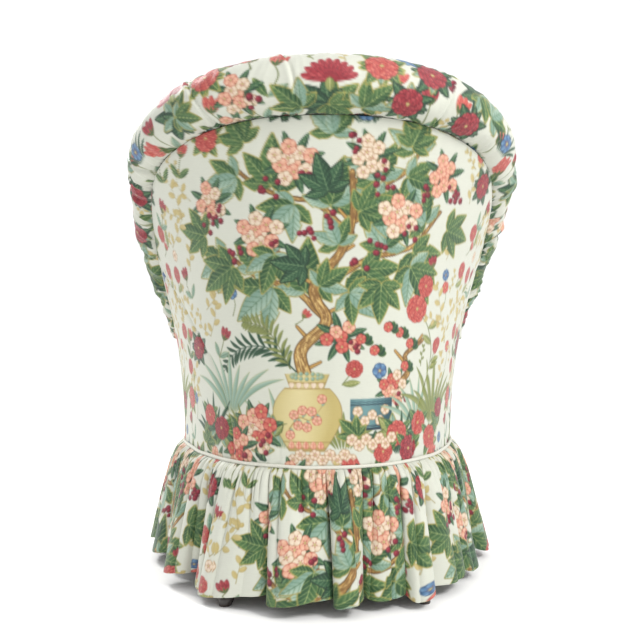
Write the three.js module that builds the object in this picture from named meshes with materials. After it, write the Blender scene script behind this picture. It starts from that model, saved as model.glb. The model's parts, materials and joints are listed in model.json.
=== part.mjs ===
// Tub armchair with a raked, rolled-over back, sloping arms, a sprung seat and a gathered skirt.
// Millimetres, +Z up, the front of the chair faces -Y. The origin is under the middle of the chair.
//
// Nearly every piece follows the tub, so a place on the chair is given by three numbers:
//   phi    the angle round the seat plan, 0 at the middle of the back, +-PI at the middle of the front
//   z      the height above the floor
//   inset  how far inside the outer cover the place lies, measured level towards the middle
// bend() takes a plain three.js geometry and moves its vertices into that space.

import * as THREE from 'three';
import { mergeVertices } from 'three/addons/utils/BufferGeometryUtils.js';

const DEGREE = Math.PI / 180;

// ---------------------------------------------------------------- driving dimensions

const PLAN_SHIFT = -19; // moves the whole chair along Y so that the origin is under its middle

const seat = {
  halfWidth: 245, // at the widest line of the plan, before the narrowing
  rearDepth: 238,
  frontDepth: 295,
  narrowing: 0.3, // how much narrower the plan is behind than in front
  rearPower: 2.16, // superellipse powers: 2 is an ellipse, more is squarer
  frontPower: 3.0,
};

const tub = {
  seamZ: 241, // piped seam between the covers and the skirt
  backTopZ: 816, // top edge of the outside back
  armEndZ: 443, // where the rolled edge ends at the front of the arm
  armEnd: 117 * DEGREE,
  sideFlare: 0.565, // how much wider the tub is at the top of the back than at the seat
  rearFlare: 0.046,
  flarePower: 2.31,
  rake: 120, // how far the top of the back leans behind the seat
  rakePower: 1.56,
  edgePower: 0.3136, // shape of the falling line from the back to the arms
  edgeSpread: 1.2635,
};

const roll = {
  backRadius: 46,
  armRadius: 38,
  coverThickness: 1.8,
  stuffingGap: 1.8,
  openHalfAngle: 28 * DEGREE, // half of the gap under the roll, where it sits on the wall
  lean: 0.08, // share of its radius that the middle of the roll lies inside the edge
};

const wall = {
  cover: 2, // thickness of a cover with its lining
  frameInset: 6,
  frameThickness: 28,
  hessianInset: 38.6,
  hessianThickness: 1.5,
  layerGap: 2.6, // between one layer and the next
  seatDepthBack: 84, // whole thickness of the upholstered wall at the seat, behind the sitter
  seatDepthArm: 64, // the same at the front of the arms
  lumbar: 12, // extra fullness of the stuffing at half height
};

const rail = { bottomZ: 232, topZ: 300, crestDepth: 34, edgeGap: 2 };
const post = { phi: 35.9 * DEGREE, halfWidth: 3.6 * DEGREE };
const stay = { bottomZ: 318, topZ: 358 }; // low rail between the back posts

const cushion = {
  backGap: 3, // between the seat and the inside of the tub
  hessianEdgeZ: 303,
  hessianRise: 37,
  stuffingEdgeZ: 392,
  crown: 30,
  shoulder: 0.9, // share of the plan where the top starts to turn down to the border
};

// The side seam starts at the seat behind the sitter and sweeps forward and up to the rolled edge.
const sideSeam = {
  footPhi: 50 * DEGREE,
  spreadPhi: 40 * DEGREE,
  topPhi: 103.5 * DEGREE,
  rise: 283,
  power: 0.4545,
  gap: 1,
};

const skirt = { topZ: 236, hemZ: 12, topInset: -3, flare: 66, thickness: 8 };

const frontLeg = { phi: 134 * DEGREE, inset: 26, topZ: rail.bottomZ - 0.4, splayX: 6, splayY: -10 };
const rearLeg = { phi: 44 * DEGREE, inset: 24, topZ: rail.bottomZ - 0.4, splayX: 46, splayY: 58 };

const spring = { radius: 38, waist: 25, wire: 2, turns: 4, bottomZ: 234.4, topZ: 328 };
const strap = {
  width: 50,
  thickness: 1.6,
  longZ: 227,
  crossZ: 229.4,
  tuck: 20, // how far inside the outline a strap's tacked end lies
  longPlaces: [-80, 0, 80],
  crossPlaces: [-160, -65, 30],
};
const backStrap = { halfWidth: 4 * DEGREE, thickness: 1, gap: 1.4, footZ: 304 };
const button = { radius: 11, height: 9, standOff: 2, upperZ: 690, lowerZ: 570 };
const piping = { radius: 3, inset: -4 };
const dustCover = { bottomZ: 224, topZ: 225.4, inset: 52 };

const GRID_STEP = tub.armEnd / 15; // angles shared by every layer, so that thin layers stay parallel
const WALL_LEVELS = 5;

// ---------------------------------------------------------------- finishes

function finish(color, roughness, metalness = 0) {
  return new THREE.MeshStandardMaterial({ color, roughness, metalness });
}

const chintz = finish(0xe9e6da, 0.55);
const pipingCloth = finish(0xf0ede2, 0.6);
const ebonised = finish(0x241c18, 0.35);
const beech = finish(0xc49a6c, 0.6);
const jute = finish(0xb59a6e, 0.95);
const hessian = finish(0xa88a5c, 0.95);
const horsehair = finish(0x6f6558, 1.0);
const liningCloth = finish(0x2a2826, 0.9);
const springSteel = finish(0x8a8580, 0.4, 0.9);

// ---------------------------------------------------------------- the shape of the tub

const clamp = THREE.MathUtils.clamp;
const lerp = THREE.MathUtils.lerp;

/** Outline of the seat at the seam. */
function planPoint(phi) {
  const power = lerp(seat.rearPower, seat.frontPower, (1 - Math.cos(phi)) / 2);
  const across = Math.abs(Math.sin(phi) / seat.halfWidth) ** power;
  const along = Math.abs(Math.cos(phi) / seat.rearDepth) ** power;
  const radius = (across + along) ** (-1 / power);
  const depth = radius * Math.cos(phi);
  const y = depth < 0 ? (depth * seat.frontDepth) / seat.rearDepth : depth;
  const x = radius * Math.sin(phi) * (1 - seat.narrowing * Math.tanh(y / seat.rearDepth));
  return new THREE.Vector2(x, y);
}

/** A point of the chair from its angle, height and inset. */
function tubPoint(phi, z, inset) {
  const plan = planPoint(phi);
  const inward = plan.clone().normalize().multiplyScalar(-inset);
  const rise = Math.max(0, (z - tub.seamZ) / (tub.backTopZ - tub.seamZ));
  const flare = rise ** tub.flarePower;
  const x = plan.x * (1 + tub.sideFlare * flare) + inward.x;
  const y = plan.y * (1 + tub.rearFlare * flare) + tub.rake * rise ** tub.rakePower + inward.y;
  return new THREE.Vector3(x, y + PLAN_SHIFT, z);
}

/** How far round from the back to the end of the arm, from 0 to 1. */
function turn(phi) {
  return clamp(Math.abs(phi) / tub.armEnd, 0, 1);
}

/** Height of the top edge of the outer covers. */
function edgeZ(phi) {
  const fall = 0.5 + 0.5 * Math.cos(Math.PI * turn(phi) ** tub.edgeSpread);
  return lerp(tub.armEndZ, tub.backTopZ, fall ** tub.edgePower);
}

function edgePoint(phi) {
  return tubPoint(phi, edgeZ(phi), 0);
}

function rollRadius(phi) {
  return lerp(roll.backRadius, roll.armRadius, turn(phi));
}

/** Directions at the top edge: along it, level and outwards, and away from the wall. */
function edgeFrame(phi) {
  const delta = 0.004;
  const end = tub.armEnd - delta;
  const middle = clamp(phi, -end, end);
  const along = edgePoint(middle + delta).sub(edgePoint(middle - delta)).normalize();
  const out = new THREE.Vector3(-along.y, along.x, 0).normalize();
  const up = new THREE.Vector3().crossVectors(along, out).normalize();
  return { along, out, up };
}

/** A point from its place across the top edge: out of the wall, and up from the edge. */
function acrossEdge(phi, out, up) {
  const frame = edgeFrame(phi);
  return edgePoint(phi).addScaledVector(frame.out, out).addScaledVector(frame.up, up);
}

/** Top of a wall layer that stops short of the rolled edge. */
function layerTopZ(phi, gap = rail.edgeGap) {
  const { along } = edgeFrame(phi);
  return edgeZ(phi) - gap / Math.max(0.2, Math.hypot(along.x, along.y));
}

/** Inset of the sitter's side of the wall: full at the seat, thin where it meets the roll. */
function innerInset(phi, z) {
  const height = clamp((z - tub.seamZ) / (edgeZ(phi) - tub.seamZ), 0, 1);
  const atSeat = lerp(wall.seatDepthBack, wall.seatDepthArm, turn(phi) ** 1.5);
  const atEdge = 1.32 * rollRadius(phi);
  return lerp(atSeat, atEdge, height * height) + wall.lumbar * Math.sin(Math.PI * height);
}

// ---------------------------------------------------------------- building helpers

/** Signed volume of a closed indexed geometry. */
function signedVolume(geometry) {
  const position = geometry.getAttribute('position');
  const corner = [new THREE.Vector3(), new THREE.Vector3(), new THREE.Vector3()];
  let volume = 0;
  for (let i = 0; i < geometry.index.count; i += 3) {
    corner.forEach((point, k) => point.fromBufferAttribute(position, geometry.index.getX(i + k)));
    volume += corner[0].dot(corner[1].cross(corner[2])) / 6;
  }
  return volume;
}

/** Moves every vertex of a closed geometry by place(x, y, z), and keeps its faces pointing out. */
function bend(geometry, place) {
  geometry.deleteAttribute('normal');
  geometry.deleteAttribute('uv');
  const merged = mergeVertices(geometry, 1e-5);
  const position = merged.getAttribute('position');
  for (let i = 0; i < position.count; i += 1) {
    const moved = place(position.getX(i), position.getY(i), position.getZ(i));
    position.setXYZ(i, moved.x, moved.y, moved.z);
  }
  const faces = [];
  for (let i = 0; i < merged.index.count; i += 3) {
    const face = [0, 1, 2].map((k) => merged.index.getX(i + k));
    if (new Set(face).size === 3) faces.push(...face);
  }
  merged.setIndex(faces);
  if (signedVolume(merged) < 0) merged.setIndex(faces.reverse());
  merged.computeVertexNormals();
  return merged;
}

/** The shared angles, in steps of the grid: closer together where the edge drops down the arm front. */
const GRID = [14.45, 14.75].flatMap((steps) => [-steps, steps])
  .concat(Array.from({ length: 61 }, (_, i) => i - 30))
  .sort((a, b) => a - b)
  .map((steps) => steps * GRID_STEP);

/** Angles from one end to the other, with every shared angle between them. */
function angles(from, to) {
  const room = 0.12 * GRID_STEP;
  return [from, ...GRID.filter((phi) => phi - from > room && to - phi > room), to];
}

/** Reads a list at a share from 0 to 1 that falls on one of its entries. */
function pick(list, share) {
  return list[Math.round(share * (list.length - 1))];
}

/** A slab that follows the tub: place(phi, level, depth), level and depth from 0 to 1. */
function slab(phis, levels, place) {
  const box = new THREE.BoxGeometry(1, 1, 1, phis.length - 1, levels, 1);
  return bend(box, (x, y, z) => place(pick(phis, x + 0.5), y + 0.5, z + 0.5));
}

/** A slab between two insets and two heights, which may be numbers or functions of the angle. */
function wallSlab(phis, levels, bottom, top, outerInset, innerInsetAt) {
  const value = (entry, phi, z) => (typeof entry === 'function' ? entry(phi, z) : entry);
  return slab(phis, levels, (phi, level, depth) => {
    const z = lerp(value(bottom, phi), value(top, phi), level);
    const inset = lerp(value(outerInset, phi, z), value(innerInsetAt, phi, z), depth);
    return tubPoint(phi, z, inset);
  });
}

/** A section drawn across the top edge and swept along it. */
function sweepAlongEdge(shape, phis, place) {
  const settings = { depth: 1, steps: phis.length - 1, bevelEnabled: false };
  const geometry = new THREE.ExtrudeGeometry(shape, settings);
  return bend(geometry, (x, y, z) => place(pick(phis, z), x, y));
}

/** A body whose profile (share of the way out to the rim, height) is turned round the seat. */
function turnedOverPlan(profile, phis, rimAt, lowerEdge = (phi, z) => z) {
  const points = profile.map(([share, z]) => new THREE.Vector2(share, z));
  const lathe = new THREE.LatheGeometry(points, phis.length);
  return bend(lathe, (x, y, z) => {
    const share = Math.hypot(x, z);
    const index = Math.round((Math.atan2(x, z) / (2 * Math.PI) + 1) * phis.length) % phis.length;
    const phi = phis[index];
    const rim = rimAt(phi, y);
    const height = share < 1e-6 ? y : lowerEdge(phi, y);
    return new THREE.Vector3(rim.x * share, (rim.y - PLAN_SHIFT) * share + PLAN_SHIFT, height);
  });
}

const chair = new THREE.Group();

function add(name, geometry, material) {
  const mesh = new THREE.Mesh(geometry, material);
  mesh.name = name;
  chair.add(mesh);
  return mesh;
}

/** Adds the same piece on both sides; side is 1 on the sitter's left and -1 on the right. */
function addPair(name, build, material) {
  add(`${name}_left`, build(1), material);
  add(`${name}_right`, build(-1), material);
}

/** Angles of a piece on one side, always from the lower angle to the higher. */
function sideAngles(side, from, to) {
  return side > 0 ? angles(from, to) : angles(-to, -from);
}

// ---------------------------------------------------------------- frame

const BACK_CORNER = 6 * GRID_STEP; // where the rear seat rail meets the side rails
const FRONT_CORNER = 16.4 * GRID_STEP;
const JOINT_GAP = 0.12 * DEGREE;

function seatRail(phis, inner = wall.frameInset + wall.frameThickness) {
  return wallSlab(phis, 1, rail.bottomZ, rail.topZ, wall.frameInset, inner);
}

function buildSeatFrame() {
  const block = 5 * DEGREE;
  const frontStart = FRONT_CORNER + block + JOINT_GAP;
  add('rear_seat_rail', seatRail(angles(-BACK_CORNER, BACK_CORNER)), beech);
  addPair('side_seat_rail', (side) => seatRail(
    sideAngles(side, BACK_CORNER + JOINT_GAP, FRONT_CORNER - JOINT_GAP),
  ), beech);
  addPair('front_corner_block', (side) => seatRail(
    sideAngles(side, FRONT_CORNER, FRONT_CORNER + block), wall.frameInset + 46,
  ), beech);
  add('front_seat_rail', seatRail(angles(frontStart, 2 * Math.PI - frontStart)), beech);
}

function buildBackFrame() {
  const armJoint = 13 * GRID_STEP;
  const railFoot = (phi) => layerTopZ(phi, rail.edgeGap + rail.crestDepth + 3);
  const inner = wall.frameInset + wall.frameThickness;
  const frameSlab = (phis, levels, bottom, top) => (
    wallSlab(phis, levels, bottom, top, wall.frameInset, inner)
  );
  const edgeRail = (phis) => frameSlab(
    phis, 1, (phi) => layerTopZ(phi, rail.edgeGap + rail.crestDepth), layerTopZ,
  );
  add('crest_rail', edgeRail(angles(-BACK_CORNER, BACK_CORNER)), beech);
  addPair('arm_rail', (side) => edgeRail(
    sideAngles(side, BACK_CORNER + JOINT_GAP, armJoint - JOINT_GAP),
  ), beech);
  addPair('back_post', (side) => frameSlab(
    [side * post.phi - post.halfWidth, side * post.phi + post.halfWidth],
    WALL_LEVELS, rail.topZ + 0.4, railFoot,
  ), beech);
  const stayEnd = post.phi - post.halfWidth - 2 * JOINT_GAP;
  add('stay_rail', frameSlab(angles(-stayEnd, stayEnd), 1, stay.bottomZ, stay.topZ), beech);
  addPair('arm_stump', (side) => frameSlab(
    sideAngles(side, armJoint, 14.6 * GRID_STEP), WALL_LEVELS, rail.topZ + 0.4, layerTopZ,
  ), beech);
}

/** A turned leg whose axis leans from the rail to the foot; the foot's face stays level. */
function turnedLeg(leg, side) {
  const profile = [
    [0, 0], [10.5, 0], [11.5, 4], [14, 12], [11.5, 19], [13, 26], [16, 90], [18, 150],
    [21, 172], [18.5, 184], [20, leg.topZ], [0, leg.topZ],
  ].map(([radius, z]) => new THREE.Vector2(radius, z));
  const top = tubPoint(side * leg.phi, leg.topZ, leg.inset);
  return bend(new THREE.LatheGeometry(profile, 10), (x, y, z) => {
    const lean = 1 - y / leg.topZ;
    return new THREE.Vector3(top.x + x + side * leg.splayX * lean, top.y + z + leg.splayY * lean, y);
  });
}

function buildLegs() {
  addPair('front_leg', (side) => turnedLeg(frontLeg, side), ebonised);
  addPair('rear_leg', (side) => turnedLeg(rearLeg, side), ebonised);
}

// ---------------------------------------------------------------- webbing, springs and hessian

/** A strap of webbing that lies flat, from its two ranges and the height of its lower face. */
function flatStrap([fromX, toX], [fromY, toY], bottomZ) {
  const box = new THREE.BoxGeometry(toX - fromX, toY - fromY, strap.thickness);
  const middleY = (fromY + toY) / 2 + PLAN_SHIFT;
  box.translate((fromX + toX) / 2, middleY, bottomZ + strap.thickness / 2);
  return box;
}

/** Angle of the plan, between two angles, whose point has the given coordinate. */
function planAngle(axis, value, from, to) {
  let low = from;
  let high = to;
  for (let i = 0; i < 40; i += 1) {
    const middle = (low + high) / 2;
    const rising = planPoint(high)[axis] > planPoint(low)[axis];
    if (planPoint(middle)[axis] > value === rising) high = middle;
    else low = middle;
  }
  return (low + high) / 2;
}

function buildSeatWebbing() {
  const half = strap.width / 2;
  const rearRange = [0, 60 * DEGREE];
  const frontRange = [130 * DEGREE, Math.PI];
  const sideRange = [40 * DEGREE, 150 * DEGREE];
  strap.longPlaces.forEach((x, i) => {
    const reach = Math.abs(x) + half;
    const rearY = planPoint(planAngle('x', reach, ...rearRange)).y - strap.tuck;
    const frontY = planPoint(planAngle('x', reach, ...frontRange)).y + strap.tuck;
    add(`seat_strap_long_${i + 1}`, flatStrap([x - half, x + half], [frontY, rearY], strap.longZ), jute);
  });
  strap.crossPlaces.forEach((y, i) => {
    const edges = [y - half, y + half];
    const widths = edges.map((at) => planPoint(planAngle('y', at, ...sideRange)).x);
    const reach = Math.min(...widths) - strap.tuck;
    add(`seat_strap_cross_${i + 1}`, flatStrap([-reach, reach], edges, strap.crossZ), jute);
  });
}

function buildBackWebbing() {
  const outer = wall.frameInset + wall.frameThickness + backStrap.gap;
  const inner = outer + backStrap.thickness;
  const half = backStrap.halfWidth;
  [-2, 0, 2].forEach((place, i) => {
    const phi = place * GRID_STEP;
    const phis = [phi - half, phi, phi + half];
    add(`back_strap_${i + 1}`, wallSlab(
      phis, WALL_LEVELS, backStrap.footZ, layerTopZ, outer, inner,
    ), jute);
  });
}

/** Centre line of a waisted coil spring. */
class SpringCurve extends THREE.Curve {
  getPoint(share, target = new THREE.Vector3()) {
    const angle = share * spring.turns * 2 * Math.PI;
    const radius = lerp(spring.waist, spring.radius, (2 * share - 1) ** 2);
    return target.set(
      radius * Math.cos(angle),
      radius * Math.sin(angle),
      lerp(spring.bottomZ, spring.topZ, share),
    );
  }
}

function buildSprings() {
  const places = [[0, -198], [-96, -138], [96, -138], [0, -88], [-80, -22], [80, -22], [0, 40]];
  const outline = new THREE.EllipseCurve(0, 0, spring.wire, spring.wire).getPoints(4);
  const section = new THREE.Shape(outline.slice(0, 4));
  const settings = { steps: 7 * spring.turns, extrudePath: new SpringCurve() };
  places.forEach(([x, y], i) => {
    const coil = new THREE.ExtrudeGeometry(section, settings);
    coil.translate(x, y + PLAN_SHIFT, 0);
    add(`seat_spring_${i + 1}`, coil, springSteel);
  });
}

// ---------------------------------------------------------------- seat

const ARM_FACE = tub.armEnd + 0.9 * DEGREE; // outer face of the cover on the front of the arm
const WING_BACK = ARM_FACE + 1.2 * DEGREE; // behind this angle the seat lies inside the arms
const WING_FRONT = WING_BACK + 2.4 * DEGREE; // in front of this angle it is as wide as the plan
const BORDER_START = WING_FRONT + 0.5 * DEGREE; // in front of this angle its border covers the rail

/** Angles all round the plan, from the middle of the back; tuck moves the wings of the seat forward. */
function ringAngles(backEnd, tuck = 0) {
  const back = angles(-backEnd - tuck, backEnd + tuck);
  const middle = back.indexOf(0);
  const wing = WING_FRONT + tuck;
  const border = BORDER_START + tuck;
  const front = [wing, ...angles(border, 2 * Math.PI - border), 2 * Math.PI - wing];
  return [...back.slice(middle), ...front, ...back.slice(0, middle)];
}

/** Edge of a seat layer: it fills the tub at the back, and comes out to the outline in front. */
function seatRim(layerInset, tuck = 0) {
  return (phi, z) => {
    const angle = phi > Math.PI ? 2 * Math.PI - phi : Math.abs(phi);
    if (angle > (WING_BACK + WING_FRONT) / 2 + tuck) return tubPoint(phi, 0, layerInset);
    return tubPoint(phi, z, innerInset(phi, z) + cushion.backGap + layerInset);
  };
}

function buildSeat() {
  const phis = ringAngles(WING_BACK);
  const top = cushion.stuffingEdgeZ;
  const crownZ = top + cushion.crown;
  const dome = cushion.hessianEdgeZ + cushion.hessianRise;
  const tuck = 1.1 * DEGREE;
  const inner = ringAngles(WING_BACK, tuck);
  const innerRim = seatRim(wall.cover + 3, tuck);
  add('seat_hessian', turnedOverPlan([
    [0, dome], [0.84, dome - 5], [1, cushion.hessianEdgeZ],
    [1, cushion.hessianEdgeZ - 1.5], [0.84, dome - 6.5], [0, dome - 1.5],
  ], inner, innerRim), hessian);
  add('seat_stuffing', turnedOverPlan([
    [0, dome + 1.5], [0.84, dome - 3.5], [1, cushion.hessianEdgeZ + 2],
    [1, top - 26], [0.98, top - 12], [cushion.shoulder - 0.01, top + 3],
    [0.55, crownZ - 7], [0, crownZ - 1],
  ], inner, innerRim), horsehair);
  const border = (phi, z) => (z > cushion.hessianEdgeZ ? z : frontBorderZ(phi, z));
  add('seat_cover', turnedOverPlan([
    [0, crownZ + 1], [0.55, crownZ - 5], [cushion.shoulder, top + 5.2], [0.992, top - 8], [0.992, top - 26],
    [0.992, rail.topZ + 2], [1, rail.topZ + 2], [1, top - 26], [1, top - 7],
    [cushion.shoulder + 0.005, top + 7.4], [0.55, crownZ - 2.6], [0, crownZ + 3.4],
  ], phis, seatRim(0), border), chintz);
  add('dust_cover', turnedOverPlan([
    [0, dustCover.bottomZ], [1, dustCover.bottomZ], [1, dustCover.topZ], [0, dustCover.topZ],
  ], ringAngles(tub.armEnd), (phi) => tubPoint(phi, 0, dustCover.inset)), liningCloth);
}

/** Lower edge of the seat cover: it runs down to the seam only where the front of the seat is open. */
function frontBorderZ(phi, z) {
  const angle = phi > Math.PI ? 2 * Math.PI - phi : Math.abs(phi);
  return angle >= BORDER_START - 1e-9 ? tub.seamZ - 4 : z;
}

// ---------------------------------------------------------------- tub upholstery

const WALL_PHIS = angles(-tub.armEnd, tub.armEnd);
const UPHOLSTERY_FOOT = rail.topZ + 1;

function buildInsideBack() {
  const hessianInner = wall.hessianInset + wall.hessianThickness;
  const coverOuter = (phi, z) => innerInset(phi, z) - wall.cover;
  const stuffingInner = (phi, z) => coverOuter(phi, z) - wall.layerGap;
  add('back_hessian', wallSlab(
    WALL_PHIS, WALL_LEVELS, UPHOLSTERY_FOOT, layerTopZ, wall.hessianInset, hessianInner,
  ), hessian);
  add('back_stuffing', wallSlab(
    WALL_PHIS, WALL_LEVELS, UPHOLSTERY_FOOT, layerTopZ, hessianInner + wall.layerGap, stuffingInner,
  ), horsehair);
  add('inside_back_cover', wallSlab(
    WALL_PHIS, WALL_LEVELS, UPHOLSTERY_FOOT, layerTopZ, coverOuter, innerInset,
  ), chintz);
}

/** Corners of a ring section that is open at the bottom, and of the round body inside it. */
function ringPoints(radius, from, to, count) {
  return Array.from({ length: count + 1 }, (_, i) => {
    const angle = lerp(from, to, i / count);
    return new THREE.Vector2(radius * Math.sin(angle), -radius * Math.cos(angle));
  });
}

function buildRoll() {
  const sides = 10;
  const from = roll.openHalfAngle;
  const to = 2 * Math.PI - from;
  const place = (inner) => (phi, x, y) => {
    const radius = rollRadius(phi);
    const size = Math.hypot(x, y) < 0.9 ? radius - inner : radius;
    const unit = new THREE.Vector2(x, y).normalize();
    return acrossEdge(phi, unit.x * size - roll.lean * radius, unit.y * size + radius);
  };
  const ring = [...ringPoints(1, from, to, sides), ...ringPoints(0.8, from, to, sides).reverse()];
  const core = ringPoints(0.8, from, to, sides);
  add('roll_stuffing', sweepAlongEdge(
    new THREE.Shape(core), WALL_PHIS, place(roll.coverThickness + roll.stuffingGap),
  ), horsehair);
  add('roll_cover', sweepAlongEdge(new THREE.Shape(ring), WALL_PHIS, place(roll.coverThickness)), chintz);
}

/** Height of the curved side seam between the outside back and the outside arm. */
function sideSeamZ(phi) {
  const share = Math.max(0, (Math.abs(phi) - sideSeam.footPhi) / sideSeam.spreadPhi);
  return tub.seamZ + sideSeam.rise * share ** sideSeam.power;
}

function buildOutsideCovers() {
  const foot = tub.seamZ - 4;
  const cover = (phis, bottom, top) => wallSlab(phis, WALL_LEVELS, bottom, top, 0, wall.cover);
  const backFoot = (phi) => (Math.abs(phi) <= sideSeam.footPhi ? foot : Math.max(foot, sideSeamZ(phi)));
  const armTop = (phi) => Math.min(sideSeamZ(phi) - sideSeam.gap, layerTopZ(phi));
  add('outside_back_cover', cover(angles(-sideSeam.topPhi, sideSeam.topPhi), backFoot, layerTopZ), chintz);
  addPair('outside_arm_cover', (side) => cover(
    sideAngles(side, sideSeam.footPhi + 0.5 * DEGREE, tub.armEnd), foot, armTop,
  ), chintz);
  const face = [tub.armEnd + 0.15 * DEGREE, ARM_FACE];
  addPair('arm_front_cover', (side) => wallSlab(
    side > 0 ? face : [-face[1], -face[0]], 3, UPHOLSTERY_FOOT, tub.armEndZ - 3, 1, innerInset,
  ), chintz);
}

function buildButtons() {
  const row = (z, places) => places.map((place) => ({ z, phi: place * GRID_STEP }));
  const upper = row(button.upperZ, [-5.8, -1.9, 1.9, 5.8]);
  const places = [...upper, ...row(button.lowerZ, [-3.9, 0, 3.9])];
  const profile = [
    [0, 0], [0.8 * button.radius, 0], [button.radius, 0.35 * button.height],
    [0.75 * button.radius, 0.85 * button.height], [0, button.height],
  ].map(([radius, height]) => new THREE.Vector2(radius, height));
  places.forEach(({ z, phi }, i) => {
    const centre = tubPoint(phi, z, innerInset(phi, z));
    const above = tubPoint(phi, z + 5, innerInset(phi, z + 5)).sub(centre);
    const beside = tubPoint(phi + 0.02, z, innerInset(phi + 0.02, z)).sub(centre);
    const facing = new THREE.Vector3().crossVectors(beside, above).normalize();
    const mesh = add(`back_button_${i + 1}`, new THREE.LatheGeometry(profile, 8), chintz);
    mesh.quaternion.setFromUnitVectors(new THREE.Vector3(0, 1, 0), facing);
    mesh.position.copy(centre).addScaledVector(facing, button.standOff);
  });
}

// ---------------------------------------------------------------- skirt and piping

function buildSkirt() {
  const panel = (phis) => slab(phis, 3, (phi, level, depth) => {
    const drop = 1 - level;
    const outward = skirt.flare * drop ** 0.8;
    const z = lerp(skirt.hemZ, skirt.topZ, level);
    return tubPoint(phi, z, skirt.topInset - outward - depth * skirt.thickness);
  });
  const gap = 0.15 * DEGREE;
  const front = 17 * GRID_STEP;
  add('skirt_back', panel(angles(-BACK_CORNER, BACK_CORNER)), chintz);
  addPair('skirt_side', (side) => panel(sideAngles(side, BACK_CORNER + gap, front - gap)), chintz);
  add('skirt_front', panel(angles(front, 2 * Math.PI - front)), chintz);
}

function buildPiping() {
  const around = ringAngles(tub.armEnd);
  const middle = 100; // radius of the plain ring before it is bent to the plan
  const ring = new THREE.TorusGeometry(middle, piping.radius, 6, around.length);
  add('skirt_piping', bend(ring, (x, y, z) => {
    const share = Math.atan2(y, x) / (2 * Math.PI) + 1;
    const phi = around[Math.round(share * around.length) % around.length];
    return tubPoint(phi, tub.seamZ + z, piping.inset - (Math.hypot(x, y) - middle));
  }), pipingCloth);
}

buildSeatFrame();
buildBackFrame();
buildLegs();
buildSeatWebbing();
buildBackWebbing();
buildSprings();
buildSeat();
buildInsideBack();
buildRoll();
buildOutsideCovers();
buildButtons();
buildSkirt();
buildPiping();

export default chair;
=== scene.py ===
"""Tub armchair in glazed printed cotton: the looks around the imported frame.

Metres, +Z up, and the front of the chair faces -Y, as in the frame. Nearly every cover follows the
tub, so a place on the chair is given by three numbers, as in the part's source:
    phi    the angle round the seat plan, 0 at the middle of the back, +-pi at the middle of the front
    z      the height above the floor
    inset  how far inside the outer cover the place lies, measured level towards the middle
A cover is a grid of cloth laid into that space. Each point of it also knows where it lies on the flat
cloth, and takes its colour from one repeat of the print, which is painted in memory by seeded code.
"""

import json
import logging
import math
from dataclasses import dataclass, field
from enum import Enum
from typing import Callable, Iterator

import bmesh
import bpy
import numpy as np
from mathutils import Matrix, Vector


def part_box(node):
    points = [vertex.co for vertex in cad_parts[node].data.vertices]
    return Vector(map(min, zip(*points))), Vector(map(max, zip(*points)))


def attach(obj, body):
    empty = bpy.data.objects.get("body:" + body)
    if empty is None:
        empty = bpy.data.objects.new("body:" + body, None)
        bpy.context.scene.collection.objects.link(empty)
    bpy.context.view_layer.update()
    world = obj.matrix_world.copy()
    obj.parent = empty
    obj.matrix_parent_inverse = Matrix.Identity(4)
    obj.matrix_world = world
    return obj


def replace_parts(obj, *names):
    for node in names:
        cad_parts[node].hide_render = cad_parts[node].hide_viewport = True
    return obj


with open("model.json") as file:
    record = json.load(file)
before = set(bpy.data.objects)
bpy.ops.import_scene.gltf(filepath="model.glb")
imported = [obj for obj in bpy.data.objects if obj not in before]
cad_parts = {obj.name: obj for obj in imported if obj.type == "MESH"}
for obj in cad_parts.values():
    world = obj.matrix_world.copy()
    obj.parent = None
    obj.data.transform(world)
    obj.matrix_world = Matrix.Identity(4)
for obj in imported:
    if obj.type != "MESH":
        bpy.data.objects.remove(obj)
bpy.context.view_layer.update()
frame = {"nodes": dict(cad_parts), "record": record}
LOG = logging.getLogger("armchair")
BODY = "root"
PRINT_COLOUR = "print"
CLOTH_UV = "cloth"
Array = np.ndarray
DEGREE = math.pi / 180


# ---------------------------------------------------------------- the shape of the tub


def mix(a: Array | float, b: Array | float, share: Array | float) -> Array:
    """A blend of a and b by a share from 0 to 1."""
    return a + (b - a) * share


def between_cells(
    at: Callable[[Array, Array], Array], i: Array, j: Array, fx: Array, fy: Array
) -> Array:
    """A blend of the four values round a place that lies fx and fy of a cell past the whole i and j."""
    lower, upper = (mix(at(i, k), at(i + 1, k), fx) for k in (j, j + 1))
    return mix(lower, upper, fy)


def disc_grid(cells: int) -> tuple[Array, Array, Array, Array]:
    """A square grid drawn into a disc: x, y, distance from its middle, and angle from the back."""
    gx, gy = np.meshgrid(np.linspace(-1, 1, cells), np.linspace(-1, 1, cells))
    x, y = gx * np.sqrt(1 - gy**2 / 2), gy * np.sqrt(1 - gx**2 / 2)
    return x, y, np.clip(np.hypot(x, y), 0, 1), np.arctan2(x, y)


def unit(vectors: Array) -> Array:
    """The vectors along the last axis, at length one."""
    return vectors / np.maximum(np.linalg.norm(vectors, axis=-1, keepdims=True), 1e-12)


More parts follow.
